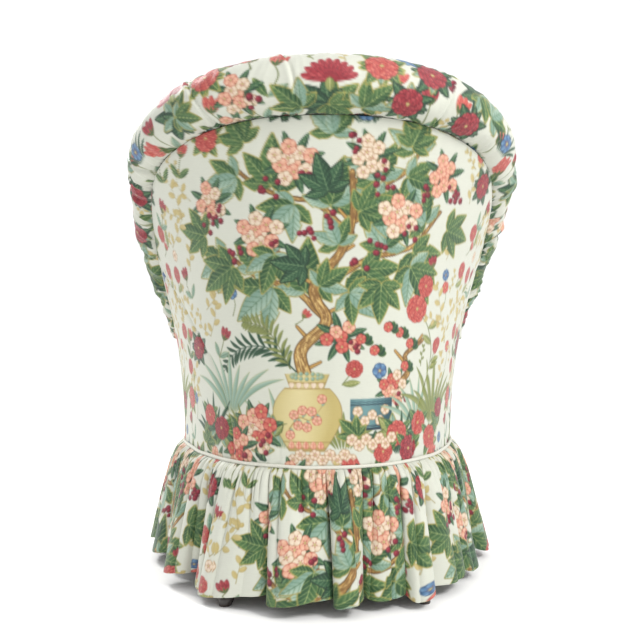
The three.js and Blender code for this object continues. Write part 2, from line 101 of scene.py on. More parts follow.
@dataclass(frozen=True)
class TubShape:
    """The surfaces of the tub, as the frame has them."""

    half_width: float = 0.245
    rear_depth: float = 0.238
    front_depth: float = 0.295
    narrowing: float = 0.3
    rear_power: float = 2.16
    front_power: float = 3.0
    plan_shift: float = -0.019
    seam_z: float = 0.241
    back_top_z: float = 0.816
    arm_end_z: float = 0.443
    arm_end: float = 117 * DEGREE
    side_flare: float = 0.565
    rear_flare: float = 0.046
    flare_power: float = 2.31
    rake: float = 0.120
    rake_power: float = 1.56
    edge_power: float = 0.3136
    edge_spread: float = 1.2635
    roll_back: float = 0.046
    roll_arm: float = 0.038
    seat_depth_back: float = 0.084
    seat_depth_arm: float = 0.064
    lumbar: float = 0.012
    highest_z: float = 0.93

    def point(self, phi: Array, z: Array, inset: Array | float = 0.0) -> Array:
        """Places on the chair.

        Args:
            phi: Angles round the plan.
            z: Heights.
            inset: Distances inside the outer cover.
        Returns:
            Points, with x, y and z on the last axis.
        """
        phi, z, inset = np.broadcast_arrays(phi, z, inset)
        sine, cosine = np.sin(phi), np.cos(phi)
        power = mix(self.rear_power, self.front_power, (1 - cosine) / 2)
        across = np.abs(sine / self.half_width) ** power
        along = np.abs(cosine / self.rear_depth) ** power
        radius = (across + along) ** (-1 / power)
        depth = radius * cosine
        y = np.where(depth < 0, depth * self.front_depth / self.rear_depth, depth)
        x = radius * sine * (1 - self.narrowing * np.tanh(y / self.rear_depth))
        reach = np.hypot(x, y)
        rise = np.maximum(0, (z - self.seam_z) / (self.back_top_z - self.seam_z))
        flare = rise**self.flare_power
        out_x = x * (1 + self.side_flare * flare) - inset * x / reach
        lean = self.rake * rise**self.rake_power
        out_y = y * (1 + self.rear_flare * flare) + lean - inset * y / reach
        return np.stack([out_x, out_y + self.plan_shift, z], axis=-1)

    def girth(self, phi: Array, z: Array) -> Array:
        """Distance round the outside of the tub from the middle of its back, at each height."""
        steps, levels = 480, 23
        angles = np.linspace(-math.pi, math.pi, steps + 1)
        heights = np.linspace(self.seam_z, self.highest_z, levels + 1)
        rings = run_length(self.point(*np.meshgrid(angles, heights)), 1, steps // 2)
        column = (phi + math.pi) / (2 * math.pi) * steps
        row = np.clip((z - heights[0]) / (heights[1] - heights[0]), 0, levels - 0.001)
        i, j = np.minimum(column.astype(int), steps - 1), row.astype(int)
        return between_cells(lambda a, b: rings[b, a], i, j, column - i, row - j)

    def climb(self, z: Array) -> Array:
        """Distance up the middle of the back from the piped seam."""
        heights = np.linspace(self.seam_z, self.highest_z, 60)
        return np.interp(z, heights, run_length(self.point(0.0, heights), 0))

    def turn(self, phi: Array) -> Array:
        """How far round from the back to the end of the arm, from 0 to 1."""
        return np.clip(np.abs(phi) / self.arm_end, 0, 1)

    def edge_z(self, phi: Array) -> Array:
        """Height of the top edge of the outer covers."""
        fall = 0.5 + 0.5 * np.cos(np.pi * self.turn(phi) ** self.edge_spread)
        return mix(self.arm_end_z, self.back_top_z, np.maximum(fall, 0) ** self.edge_power)

    def roll_radius(self, phi: Array) -> Array:
        """Radius of the rolled edge."""
        return mix(self.roll_back, self.roll_arm, self.turn(phi))

    def edge_frame(self, phi: Array) -> tuple[Array, Array, Array]:
        """Directions at the top edge: along it, level and outwards, and away from the wall."""
        delta = 0.004
        middle = np.clip(phi, delta - self.arm_end, self.arm_end - delta)
        after, before = (self.point(p, self.edge_z(p)) for p in (middle + delta, middle - delta))
        along = unit(after - before)
        out = unit(np.stack([-along[..., 1], along[..., 0], 0 * along[..., 0]], axis=-1))
        return along, out, unit(np.cross(along, out))

    def top_z(self, phi: Array, gap: float = 0.002) -> Array:
        """Top of a cover that stops just short of the rolled edge."""
        along = self.edge_frame(phi)[0]
        return self.edge_z(phi) - gap / np.maximum(0.2, np.hypot(along[..., 0], along[..., 1]))

    def inner_inset(self, phi: Array, z: Array) -> Array:
        """Inset of the sitter's side of the wall."""
        height = np.clip((z - self.seam_z) / (self.edge_z(phi) - self.seam_z), 0, 1)
        at_seat = mix(self.seat_depth_back, self.seat_depth_arm, self.turn(phi) ** 1.5)
        at_edge = 1.32 * self.roll_radius(phi)
        return mix(at_seat, at_edge, height**2) + self.lumbar * np.sin(np.pi * height)


TUB = TubShape()


class Noise:
    """Smooth seeded noise from -1 to 1, in one or two directions."""

    SIZE = 4096

    def __init__(self, seed: int) -> None:
        """Draws the table of values."""
        self.table = np.random.default_rng(seed).uniform(-1, 1, self.SIZE)

    def __call__(self, x: Array, y: Array | float = 0.0) -> Array:
        """The noise at x, y, whose features are one unit apart."""
        x, y = np.broadcast_arrays(x, y)
        left, low = np.floor(x).astype(int), np.floor(y).astype(int)
        fx, fy = x - left, y - low
        fx, fy = fx * fx * (3 - 2 * fx), fy * fy * (3 - 2 * fy)

        def at(i: Array, j: Array) -> Array:
            """The table's value at a whole place."""
            return self.table[(i * 73 + j * 1933) % self.SIZE]

        return between_cells(at, left, low, fx, fy)


# ---------------------------------------------------------------- the print


def rgb(red: int, green: int, blue: int) -> Array:
    """A dye colour from its three screen values."""
    return np.array([red, green, blue]) / 255


@dataclass(frozen=True)
class Dye:
    """The four tones a motif is printed in."""

    edge: tuple[int, int, int]
    body: tuple[int, int, int]
    light: tuple[int, int, int]
    vein: tuple[int, int, int]

    def tones(self) -> tuple[Array, Array, Array, Array]:
        """The tones as colours."""
        return rgb(*self.edge), rgb(*self.body), rgb(*self.light), rgb(*self.vein)


LEAF = Dye((176, 164, 92), (48, 88, 54), (104, 138, 84), (190, 196, 132))
DARK_LEAF = Dye((30, 58, 42), (34, 72, 52), (78, 120, 84), (146, 172, 126))
PALE_LEAF = Dye((168, 158, 96), (134, 166, 150), (196, 210, 192), (88, 122, 92))
OLIVE = Dye((96, 104, 58), (126, 138, 80), (170, 174, 112), (204, 202, 150))
CORAL = Dye((150, 52, 54), (202, 96, 86), (226, 152, 132), (172, 62, 68))
ROSE = Dye((108, 28, 42), (168, 54, 66), (204, 104, 104), (124, 34, 48))
PEACH = Dye((190, 102, 84), (226, 172, 146), (238, 206, 184), (204, 116, 98))
CREAM = Dye((172, 138, 104), (228, 208, 184), (238, 226, 208), (206, 136, 112))
TAN = Dye((172, 150, 92), (196, 180, 124), (212, 198, 146), (164, 142, 88))
BLUE = Dye((38, 68, 108), (78, 118, 158), (150, 182, 206), (40, 60, 100))
BARK = Dye((96, 70, 40), (196, 158, 92), (226, 198, 136), (142, 106, 60))
JAR = Dye((140, 114, 64), (198, 182, 122), (222, 210, 162), (176, 154, 98))
BOWL = Dye((30, 54, 70), (52, 92, 104), (120, 158, 160), (28, 48, 64))
BERRY = (128, 26, 48)


def onward(x: float, y: float, heading: float, distance: float) -> tuple[float, float]:
    """The place a distance from x, y in a direction."""
    return x + distance * math.cos(heading), y + distance * math.sin(heading)


def smooth_path(knots: list[tuple[float, float]], count: int) -> Array:
    """Points spaced along a smooth curve through a few knots.

    Args:
        knots: The places that the curve passes.
        count: How many points to return.
    Returns:
        The points, as rows of x and y.
    """
    ends = np.array([knots[0], *knots, knots[-1]], float)
    share = np.linspace(0, len(knots) - 1 - 1e-9, count)
    i = share.astype(int)
    t = (share - i)[:, None]
    a, b, c, d = ends[i], ends[i + 1], ends[i + 2], ends[i + 3]
    bend = 2 * b + (c - a) * t + (2 * a - 5 * b + 4 * c - d) * t**2 + (3 * b - a - 3 * c + d) * t**3
    return bend / 2


@dataclass
class ChintzPrint:
    """One repeat of a printed cotton: a flowering tree behind a jar and a bowl, and loose sprays.

    x runs across the cloth from the middle of the chair's back, to the right as seen from behind,
    and y runs up it from the piped seam.
    """

    width: float = 0.70
    height: float = 0.92
    pitch: float = 0.0008
    ground: tuple[int, int, int] = (217, 219, 207)
    rim: float = 0.0011
    spread: float = 1.24
    cloth_tone: float = 0.74
    depth: float = 1.14
    seed: int = 7
    ink: Array = field(init=False)
    filled: Array = field(init=False)

    def __post_init__(self) -> None:
        """Paints the repeat."""
        self.rows, self.columns = round(self.height / self.pitch), round(self.width / self.pitch)
        self.ink = np.tile(rgb(*self.ground), (self.rows, self.columns, 1))
        self.filled = np.zeros((self.rows, self.columns))
        self.rng = np.random.default_rng(self.seed)
        self.paint_meadow()
        self.paint_tree()
        self.paint_vessels()
        self.paint_border()
        self.paint_upper_repeat()
        self.fill_upper_repeat()
        self.fill_sides()
        self.fill_gaps()
        soft = sum(np.roll(self.ink, (i, j), (0, 1)) for i in (-1, 0, 1) for j in (-1, 0, 1)) / 9
        linear = np.where(soft <= 0.04045, soft / 12.92, ((soft + 0.055) / 1.055) ** 2.4)
        self.linear = linear**self.depth * self.cloth_tone

    # ---- laying ink

    def window(self, x: float, y: float, reach: float) -> tuple[tuple, Array, Array]:
        """The cells of the repeat round a place, and how far each is from it."""
        cells = int(reach / self.pitch) + 2
        columns = int(x // self.pitch) + np.arange(-cells, cells + 1)
        rows = int(y // self.pitch) + np.arange(-cells, cells + 1)
        dx, dy = np.meshgrid((columns + 0.5) * self.pitch - x, (rows + 0.5) * self.pitch - y)
        return np.ix_(rows % self.rows, columns % self.columns), dx, dy

    def lay(self, place: tuple, colour: Array, cover: Array) -> None:
        """Lays a colour over the cells by how much of each it covers."""
        old = self.ink[place]
        self.ink[place] = old + (colour - old) * cover[..., None]
        self.filled[place] = np.maximum(self.filled[place], cover)

    def blade(
        self, x: float, y: float, heading: float, length: float, width: float, dye: Dye,
        bend: float = 0.0, lean: float = 1.0, fullness: float = 0.8, teeth: float = 0,
        ribs: float = 6, grow: float = 0.0,
    ) -> None:
        """One leaf or petal, from its base.

        Args:
            x: Place of the base across the cloth.
            y: Place of the base up the cloth.
            heading: Direction it grows in.
            length: Its length.
            width: Its full width.
            dye: Its tones.
            bend: Sideways bow, as a share of its length.
            lean: Below 1 it is widest near the base, above 1 near the tip.
            fullness: Below 1 its outline is rounder.
            teeth: Number of teeth along each side.
            ribs: Number of side veins.
            grow: Where above 0, only a plain outline that much larger is laid.
        """
        cosine, sine = math.cos(heading), math.sin(heading)
        middle = (x + cosine * length / 2, y + sine * length / 2)
        reach = length * 0.56 + width / 2 + grow + abs(bend) * length
        place, dx, dy = self.window(*middle, reach)
        dx, dy = dx + cosine * length / 2, dy + sine * length / 2
        share = (dx * cosine + dy * sine + grow / 2) / (length + grow)
        inside = np.clip(share, 0, 1)
        across = dy * cosine - dx * sine - bend * length * 4 * inside * (1 - inside)
        half = (width / 2) * np.sin(np.pi * inside**lean) ** fullness
        if teeth:
            half = half * (1 - 0.22 * ((inside * teeth) % 1.0))
        half = half + grow
        within = (share > 0) & (share < 1)
        cover = np.clip((half - np.abs(across)) / self.pitch + 0.5, 0, 1) * within
        edge, body, light, vein = dye.tones()
        if grow > 0:
            self.lay(place, edge, cover)
            return
        sunny = np.clip(0.5 + 0.6 * across / np.maximum(half, 1e-5), 0, 1)[..., None]
        colour = mix(body, light, sunny * (0.35 + 0.65 * inside[..., None]))
        if ribs:
            spread = (inside - 0.45 * np.abs(across) / max(width, 1e-6)) * ribs
            rib = (np.abs(spread % 1.0 - 0.5) > 0.40) * 0.55
            rib = np.maximum(rib, (np.abs(across) < 0.0006) * 0.9)
            colour = mix(colour, vein, rib[..., None])
        near_rim = np.clip(1 - (half - np.abs(across)) / self.rim, 0, 1)[..., None]
        self.lay(place, mix(colour, edge, near_rim * 0.85), cover)

    def disc(self, x: float, y: float, radius: float, dye: Dye) -> None:
        """A round spot, lighter at its upper left."""
        place, dx, dy = self.window(x, y, radius)
        away = np.hypot(dx, dy)
        cover = np.clip((radius - away) / self.pitch + 0.5, 0, 1)
        edge, body, light, _ = dye.tones()
        shine = np.clip(0.5 - (dx - dy) / (2.2 * radius), 0, 1)[..., None] ** 2
        colour = mix(mix(body, light, shine), edge, (away > 0.72 * radius)[..., None] * 0.7)
        self.lay(place, colour, cover)

    def stroke(self, path: Array, wide: float, thin: float, colour: Array) -> None:
        """A line that narrows along its length."""
        for share, (x, y) in zip(np.linspace(0, 1, len(path)), path):
            radius = mix(wide, thin, share) / 2
            place, dx, dy = self.window(x, y, radius)
            cover = np.clip((radius - np.hypot(dx, dy)) / self.pitch + 0.5, 0, 1)
            self.lay(place, colour, cover)

    # ---- motifs

    def stem(self, knots: list[tuple[float, float]], width: float, dye: Dye = OLIVE) -> Array:
        """A thin stem, and the points along it."""
        path = smooth_path(knots, max(8, int(len(knots) * 26)))
        self.stroke(path, width, width * 0.5, dye.tones()[1] * 0.82)
        return path

    def vine_leaf(self, x: float, y: float, heading: float, size: float, dye: Dye) -> None:
        """A toothed leaf with five lobes."""
        lobes = [
            (0, 1.0, 0.46), (0.74, 0.84, 0.38), (-0.74, 0.84, 0.38), (1.5, 0.58, 0.30), (-1.5, 0.58, 0.30),
        ]
        other = self.rng.choice([PALE_LEAF, dye, dye]) if dye is not PALE_LEAF else LEAF
        for grow in (0.0013, 0.0):
            for n, (turn, length, width) in enumerate(lobes[::-1]):
                self.blade(
                    x, y, heading + turn, size * length, size * width, other if n in (1, 2) else dye,
                    fullness=0.85, lean=0.85, teeth=2, ribs=7, grow=grow,
                )

    def bloom(
        self, x: float, y: float, size: float, dye: Dye, petals: int = 5, heart: Dye = TAN,
    ) -> None:
        """An open flower with a ring of petals and dotted stamens."""
        start = self.rng.uniform(0, 6)
        for grow in (0.0010, 0.0):
            for k in range(petals):
                turn = start + k * 2 * math.pi / petals
                self.blade(
                    x, y, turn, size * 0.52, size * 3.1 / (petals + 1), dye,
                    lean=1.5, fullness=0.5, ribs=0, grow=grow,
                )
        for k in range(petals):
            turn = start + (k + 0.5) * 2 * math.pi / petals
            self.disc(*onward(x, y, turn, size * 0.17), size * 0.035, ROSE)
        self.disc(x, y, size * 0.10, heart)

    def rose(self, x: float, y: float, size: float, dye: Dye) -> None:
        """A full flower of overlapping rings of petals."""
        for radius, petals in ((1.0, 9), (0.76, 7), (0.52, 5), (0.3, 4)):
            start = self.rng.uniform(0, 6)
            for k in range(petals):
                turn = start + k * 2 * math.pi / petals + self.rng.uniform(-0.12, 0.12)
                base = onward(x, y, turn, size * 0.08 * radius)
                long, broad = size * 0.46 * radius, size * 3.3 * radius / petals
                for grow, ribs in ((0.0008, 0), (0.0, 3)):
                    self.blade(*base, turn, long, broad, dye, lean=1.7, fullness=0.42, ribs=ribs, grow=grow)
        self.disc(x, y, size * 0.07, TAN)

    def bud(self, x: float, y: float, heading: float, size: float, dye: Dye) -> None:
        """A half-open bud in its green cup."""
        for turn in (-0.42, 0.42, 0):
            self.blade(x, y, heading + turn, size, size * 0.42, dye, lean=1.1, fullness=0.6, ribs=2)
        for turn in (-0.7, 0.7, 0):
            self.blade(x, y, heading + turn, size * 0.5, size * 0.14, LEAF, ribs=0)

    def carnation(self, x: float, y: float, heading: float, size: float, dye: Dye) -> None:
        """A fan of fringed petals over a cup."""
        for depth, spread in ((1.0, 1.25), (0.78, 1.0), (0.55, 0.75)):
            for turn in np.linspace(-spread, spread, 9):
                self.blade(
                    x, y, heading + turn, size * depth, size * 0.26, dye,
                    lean=2.2, fullness=0.5, ribs=2,
                )
        cup = onward(x, y, heading, -0.3 * size)
        self.blade(*cup, heading, size * 0.5, size * 0.34, OLIVE, fullness=0.6)

    def cherries(self, x: float, y: float, spread: float, count: int) -> None:
        """A loose bunch of dark berries."""
        dye = Dye((84, 14, 34), BERRY, (206, 92, 104), (90, 20, 40))
        for _ in range(count):
            turn, away = self.rng.uniform(0, 2 * math.pi), spread * math.sqrt(self.rng.uniform(0, 1))
            tip = onward(x, y, turn, away)
            self.stroke(smooth_path([(x, y), tip], 8), 0.0012, 0.0010, OLIVE.tones()[0])
            self.disc(*tip, self.rng.uniform(0.0042, 0.0056), dye)

    def fern(
        self, knots: list[tuple[float, float]], size: float, dye: Dye, pairs: int = 13,
    ) -> None:
        """A frond of narrow leaflets on both sides of a stem."""
        path = self.stem(knots, 0.0022, dye)
        for k in range(pairs):
            share = 0.1 + 0.88 * k / pairs
            i = int(share * (len(path) - 2))
            ahead = path[i + 1] - path[i]
            heading = math.atan2(ahead[1], ahead[0])
            length = size * math.sin(math.pi * (0.18 + 0.8 * share)) ** 0.7
            for side in (-1, 1):
                self.blade(*path[i], heading + side * 0.85, length, 0.0062, dye, bend=-side * 0.08, ribs=0)

    def tuft(self, x: float, y: float, size: float, count: int, dye: Dye) -> None:
        """Grass blades that fan out from one root."""
        for turn in np.linspace(-1.0, 1.0, count):
            length = size * self.rng.uniform(0.7, 1.05)
            shift = 0.012 * turn
            self.blade(x + shift, y, math.pi / 2 - turn, length, size * 0.09, dye, bend=0.12 * turn, ribs=0)

    def sprig(self, x: float, y: float, heading: float, size: float, dye: Dye) -> None:
        """A light spray with paired leaflets and a bud at its tip."""
        sway = self.rng.uniform(-0.25, 0.25)
        ahead, aside = np.array([math.cos(heading), math.sin(heading)]), sway * size
        side = np.array([-ahead[1], ahead[0]])
        knots = [(x, y), tuple(np.array([x, y]) + ahead * size / 2 + side * aside),
                 tuple(np.array([x, y]) + ahead * size)]
        path = self.stem(knots, 0.0013, dye)
        for k in range(1, 6):
            i = int(k / 6 * (len(path) - 1))
            turn = heading + (0.9 if k % 2 else -0.9)
            self.blade(*path[i], turn, size * 0.24, size * 0.13, dye, fullness=0.6, ribs=0)
        self.disc(*path[-1], size * 0.05, dye)

    # ---- the picture

    def branch(
        self, knots: list[tuple[float, float]], wide: float, thin: float, knobs: int = 0,
    ) -> Array:
        """A gnarled limb with dark outlines and grain.

        Args:
            knots: The places that it passes.
            wide: Its width at the foot.
            thin: Its width at the tip.
            knobs: How many stubby shoots it carries.
        Returns:
            The points along it.
        """
        edge, body, light, grain = BARK.tones()
        path = smooth_path([(x * self.spread, y) for x, y in knots], len(knots) * 60)
        wander = Noise(self.seed + 3)(np.linspace(0, 14, len(path)))
        path = path + wander[:, None] * 0.0018
        for k in range(knobs):
            i = int((k + 0.6) / knobs * (len(path) - 1))
            turn = (1 if k % 2 else -1) * self.rng.uniform(0.7, 1.1) + math.pi / 2
            tip = onward(*path[i], turn, self.rng.uniform(0.02, 0.036))
            for width, colour in ((0.0082, edge), (0.0056, body)):
                self.stroke(smooth_path([tuple(path[i]), tip], 24), width, width * 0.6, colour)
        for extra, colour in ((0.0030, edge), (0.0, body), (-0.0045, light)):
            if wide + extra > 0.001:
                self.stroke(path, wide + extra, max(thin + extra, 0.0008), colour)
        for _ in range(int(len(path) * wide * 60)):
            i = self.rng.integers(0, len(path) - 9)
            off = self.rng.uniform(-0.4, 0.4, 2) * mix(wide, thin, i / len(path))
            self.stroke(path[i : i + 9] + off, 0.0014, 0.0008, grain)
        return path

    def foliage(self, path: Array, every: int, size: float, first: int = 0) -> None:
        """Big leaves to both sides of a limb, with berries between them."""
        dyes = (LEAF, PALE_LEAF, LEAF, PALE_LEAF, DARK_LEAF)
        for n, i in enumerate(range(first, len(path) - 2, every)):
            ahead = path[i + 1] - path[i]
            heading = math.atan2(ahead[1], ahead[0]) + (1.15 if n % 2 else -1.15)
            heading += self.rng.uniform(-0.3, 0.3)
            base = onward(*path[i], heading, 0.012)
            self.vine_leaf(*base, heading, size * self.rng.uniform(0.85, 1.15), dyes[n % len(dyes)])

    def cluster(self, x: float, y: float, size: float, count: int, dyes: tuple[Dye, ...]) -> None:
        """A bunch of open flowers on a bed of dark narrow leaves."""
        for turn in np.linspace(0, 2 * math.pi, 8, endpoint=False):
            self.blade(x, y, turn + 0.3, size * 1.55, size * 0.42, DARK_LEAF, fullness=0.7)
        for k in range(2 * count):
            turn = k * 2.4
            away = size * math.sqrt(k / (2 * count))
            self.bloom(*onward(x, y, turn, away), size * 0.70, dyes[k % len(dyes)])
        self.cherries(x + size * 0.7, y - size * 0.7, size * 0.5, 4)

    def paint_meadow(self) -> None:
        """Light tan sprays and small blue and coral flowers behind everything."""
        for x, y, heading in (
            (-0.28, 0.34, 1.2), (-0.25, 0.46, 1.9), (-0.20, 0.56, 1.0), (-0.12, 0.60, 1.8),
            (0.05, 0.60, 1.3),
            (0.12, 0.57, 0.6), (0.24, 0.36, 1.7), (0.28, 0.46, 1.3), (0.22, 0.60, 2.0),
            (0.31, 0.26, 1.4),
            (-0.30, 0.22, 1.7), (-0.24, 0.27, 0.9), (-0.12, 0.25, 1.9), (0.27, 0.12, 1.5),
        ):
            self.sprig(x, y, heading, 0.07, TAN)
        for x, y in ((-0.27, 0.41), (0.25, 0.31), (0.29, 0.54), (-0.17, 0.30), (-0.32, 0.10), (0.30, 0.20)):
            self.stem([(x, y - 0.04), (x + 0.006, y - 0.02), (x, y)], 0.0013)
            self.bloom(x, y, 0.020, BLUE if x < 0 else CORAL)

    def paint_tree(self) -> None:
        """The flowering tree, a frond and a dwarf tree beside it."""
        left = self.branch([(0.004, 0.25), (-0.05, 0.31), (-0.10, 0.33), (-0.155, 0.39)], 0.009, 0.003, 2)
        right = self.branch([(0.005, 0.32), (0.06, 0.36), (0.12, 0.38), (0.165, 0.44)], 0.009, 0.003, 2)
        upper = self.branch([(0.03, 0.40), (-0.02, 0.45), (-0.08, 0.47), (-0.13, 0.52)], 0.007, 0.003)
        crown = self.branch([(0.035, 0.42), (0.06, 0.47), (0.10, 0.50), (0.13, 0.55)], 0.007, 0.003)
        for limb, size in ((left, 0.082), (right, 0.082), (upper, 0.074), (crown, 0.070)):
            self.foliage(limb, 50, size, first=52)
        trunk = self.branch(
            [(-0.022, 0.14), (-0.034, 0.20), (-0.002, 0.25), (-0.016, 0.31), (0.018, 0.37),
             (0.034, 0.43), (0.030, 0.50)], 0.021, 0.006, 7,
        )
        self.foliage(trunk, 74, 0.064, first=205)
        for x, y, size, count, dyes in (
            (-0.09, 0.40, 0.034, 5, (CREAM, PEACH)), (0.10, 0.43, 0.034, 5, (PEACH, CREAM)),
            (-0.045, 0.515, 0.034, 5, (PEACH, CREAM)), (0.055, 0.525, 0.030, 4, (CREAM, CREAM)),
            (-0.165, 0.455, 0.030, 4, (PEACH, CREAM)), (0.165, 0.50, 0.030, 4, (PEACH, PEACH)),
            (0.02, 0.225, 0.030, 3, (CORAL, PEACH)),
        ):
            self.cluster(x * self.spread, y, size, count, dyes)
        for x, y, heading, size, dye in (
            (-0.135, 0.345, -2.6, 0.070, LEAF), (-0.07, 0.365, -1.9, 0.062, LEAF),
            (0.03, 0.30, -0.7, 0.058, PALE_LEAF),
            (0.12, 0.345, -0.9, 0.072, LEAF), (0.075, 0.315, -1.6, 0.060, LEAF),
            (0.185, 0.41, -0.2, 0.060, LEAF),
            (-0.18, 0.40, 2.9, 0.060, LEAF), (0.0, 0.47, 1.9, 0.055, DARK_LEAF),
            (0.11, 0.545, 1.1, 0.050, LEAF),
            (-0.11, 0.55, 2.2, 0.052, LEAF), (0.005, 0.56, 1.6, 0.055, PALE_LEAF),
            (-0.03, 0.345, 3.0, 0.050, DARK_LEAF),
        ):
            self.vine_leaf(x * self.spread, y, heading, size * 1.15, dye)
        for x, y, count in (
            (-0.125, 0.365, 6), (0.07, 0.385, 6), (0.0, 0.42, 5), (0.14, 0.47, 5), (-0.075, 0.475, 6),
            (0.075, 0.475, 5),
            (-0.03, 0.395, 5), (0.045, 0.345, 4), (-0.17, 0.42, 5), (0.19, 0.47, 5), (0.03, 0.545, 6),
        ):
            self.cherries(x * self.spread, y, 0.018, count)
        self.fern([(-0.05, 0.165), (-0.10, 0.205), (-0.16, 0.20), (-0.20, 0.16)], 0.034, DARK_LEAF)
        self.fern([(-0.06, 0.17), (-0.10, 0.235), (-0.15, 0.25)], 0.030, OLIVE)
        self.branch([(0.085, 0.125), (0.125, 0.155), (0.12, 0.19), (0.155, 0.215)], 0.010, 0.004, 3)
        for x, y in (
            (0.09, 0.195), (0.14, 0.225), (0.165, 0.205), (0.115, 0.235), (0.065, 0.215), (0.155, 0.165),
        ):
            for turn in range(5):
                self.blade(x, y, turn * 0.62, 0.017, 0.012, DARK_LEAF if turn % 2 else LEAF, fullness=0.5, ribs=0)
            self.bloom(x - 0.006, y + 0.006, 0.017, CORAL)
        self.bloom(0.095, 0.165, 0.026, BLUE)
        path = self.stem([(0.215, 0.13), (0.225, 0.19), (0.205, 0.24), (0.175, 0.265)], 0.0026)
        for i in (20, 45, 66, 85):
            self.blade(*path[i], 2.6 if i % 2 else 0.3, 0.034, 0.013, OLIVE)
        self.rose(0.172, 0.272, 0.046, CORAL)
        self.rose(0.190, 0.312, 0.036, CORAL)
        self.bud(0.205, 0.345, 1.9, 0.022, ROSE)

    def vessel(
        self, x: float, y: float, height: float, profile: Callable[[Array], Array], dye: Dye,
    ) -> None:
        """A round vessel seen from the side.

        Args:
            x: Its middle.
            y: Its foot.
            height: Its height.
            profile: Half its width at each share of its height.
            dye: Its tones.
        """
        place, dx, dy = self.window(x, y + height / 2, height * 0.7)
        share = dy / height + 0.5
        half = profile(np.clip(share, 0, 1))
        cover = np.clip((half - np.abs(dx)) / self.pitch + 0.5, 0, 1) * (share > 0) * (share < 1)
        edge, body, light, band = dye.tones()
        round_light = np.clip(1 - np.abs(dx / np.maximum(half, 1e-4) + 0.25) ** 1.6, 0, 1)[..., None]
        colour = mix(body, light, round_light)
        for low, high in ((0.0, 0.06), (0.115, 0.135), (0.80, 0.82), (0.875, 0.895)):
            colour = mix(colour, band, ((share > low) & (share < high))[..., None] * 0.9)
        rim = np.clip(1 - (half - np.abs(dx)) / (self.rim * 1.5), 0, 1)[..., None]
        self.lay(place, mix(colour, edge, rim), cover)

    def paint_vessels(self) -> None:
        """A yellow jar with a painted spray, and a dark bowl of flowers."""
        self.tuft(-0.07, 0.03, 0.11, 9, PALE_LEAF)
        self.tuft(0.03, 0.03, 0.09, 7, OLIVE)

        def jar(share: Array) -> Array:
            """Shoulders, neck and foot of the jar."""
            belly = 0.030 + 0.030 * np.sin(np.pi * np.clip(share / 0.86, 0, 1) ** 1.25) ** 0.8
            return np.where(share > 0.82, 0.029 + 0.05 * (share - 0.82), belly)

        def bowl(share: Array) -> Array:
            """The bowl widens to its lip."""
            return 0.018 + 0.034 * np.sin(np.pi / 2 * share) ** 0.7

        self.vessel(-0.032, 0.026, 0.135, jar, JAR)
        for turn in np.linspace(0, 2 * math.pi, 16, endpoint=False):
            lip = (-0.032 + 0.026 * math.cos(turn), 0.157 + 0.0045 * math.sin(turn))
            self.disc(*lip, 0.004, PALE_LEAF)
        path = self.stem([(-0.062, 0.065), (-0.045, 0.085), (-0.025, 0.082), (-0.004, 0.108)], 0.0016, BARK)
        for i in range(6, len(path), 13):
            side = 1 if i % 2 else -1
            self.blade(*path[i], side * 1.2, 0.016, 0.007, PALE_LEAF, ribs=0)
            self.bloom(path[i][0], path[i][1] + side * 0.013, 0.015, PEACH)
        for x in np.arange(-0.058, 0.0, 0.0125):
            self.blade(x, 0.031, math.pi / 2, 0.013, 0.011, PEACH, lean=0.7, fullness=0.5, ribs=2)
            self.blade(x, 0.146, -math.pi / 2, 0.010, 0.010, CREAM, lean=0.7, fullness=0.5, ribs=0)
        self.cluster(0.125, 0.132, 0.026, 6, (CORAL, PEACH, CREAM))
        self.vessel(0.082, 0.062, 0.055, bowl, BOWL)
        for x, y in ((0.055, 0.095), (0.082, 0.088), (0.108, 0.096), (0.068, 0.078), (0.097, 0.078)):
            self.bloom(x, y, 0.017, CREAM)

    def paint_border(self) -> None:
        """Roses, grasses and loose flowers along the foot of the picture."""
        for x, y, size, dye in (
            (-0.185, 0.085, 0.12, PALE_LEAF), (-0.145, 0.03, 0.08, OLIVE), (0.19, 0.05, 0.10, PALE_LEAF),
            (0.145, 0.015, 0.08, DARK_LEAF), (-0.24, 0.02, 0.10, DARK_LEAF), (0.245, 0.06, 0.12, OLIVE),
        ):
            self.tuft(x, y, size, 9, dye)
        for k, x in enumerate(np.arange(-0.27, 0.29, 0.036)):
            if abs(x + 0.03) > 0.05:
                tone = (LEAF, DARK_LEAF, OLIVE)[k % 3]
                turn = math.pi / 2 + (0.8 if k % 2 else -0.7)
                self.vine_leaf(x, 0.022 + 0.030 * (k % 2), turn, 0.044, tone)
        self.cluster(-0.125, 0.060, 0.036, 6, (PEACH, CREAM, CORAL))
        self.cluster(-0.165, 0.025, 0.030, 4, (CORAL, PEACH))
        for x, y, size, dye in (
            (0.135, 0.052, 0.042, CORAL), (0.165, 0.022, 0.044, ROSE), (0.195, 0.065, 0.040, CORAL),
            (0.105, 0.022, 0.036, CORAL), (-0.215, 0.055, 0.040, ROSE), (0.235, 0.035, 0.040, CORAL),
            (-0.255, 0.075, 0.036, CORAL), (0.275, 0.085, 0.034, ROSE),
        ):
            for turn in (0.5, 2.4, 4.2):
                self.blade(x, y, turn, size * 0.95, size * 0.4, LEAF, fullness=0.7)
            self.rose(x, y, size, dye)
        for k in range(9):
            self.bloom(-0.055 + 0.0125 * k, 0.012 + 0.009 * (k % 2), 0.018, CREAM, 6)
        for k in range(7):
            self.bloom(0.045 + 0.013 * k, 0.046 - 0.010 * (k % 2), 0.019, CREAM, 6)

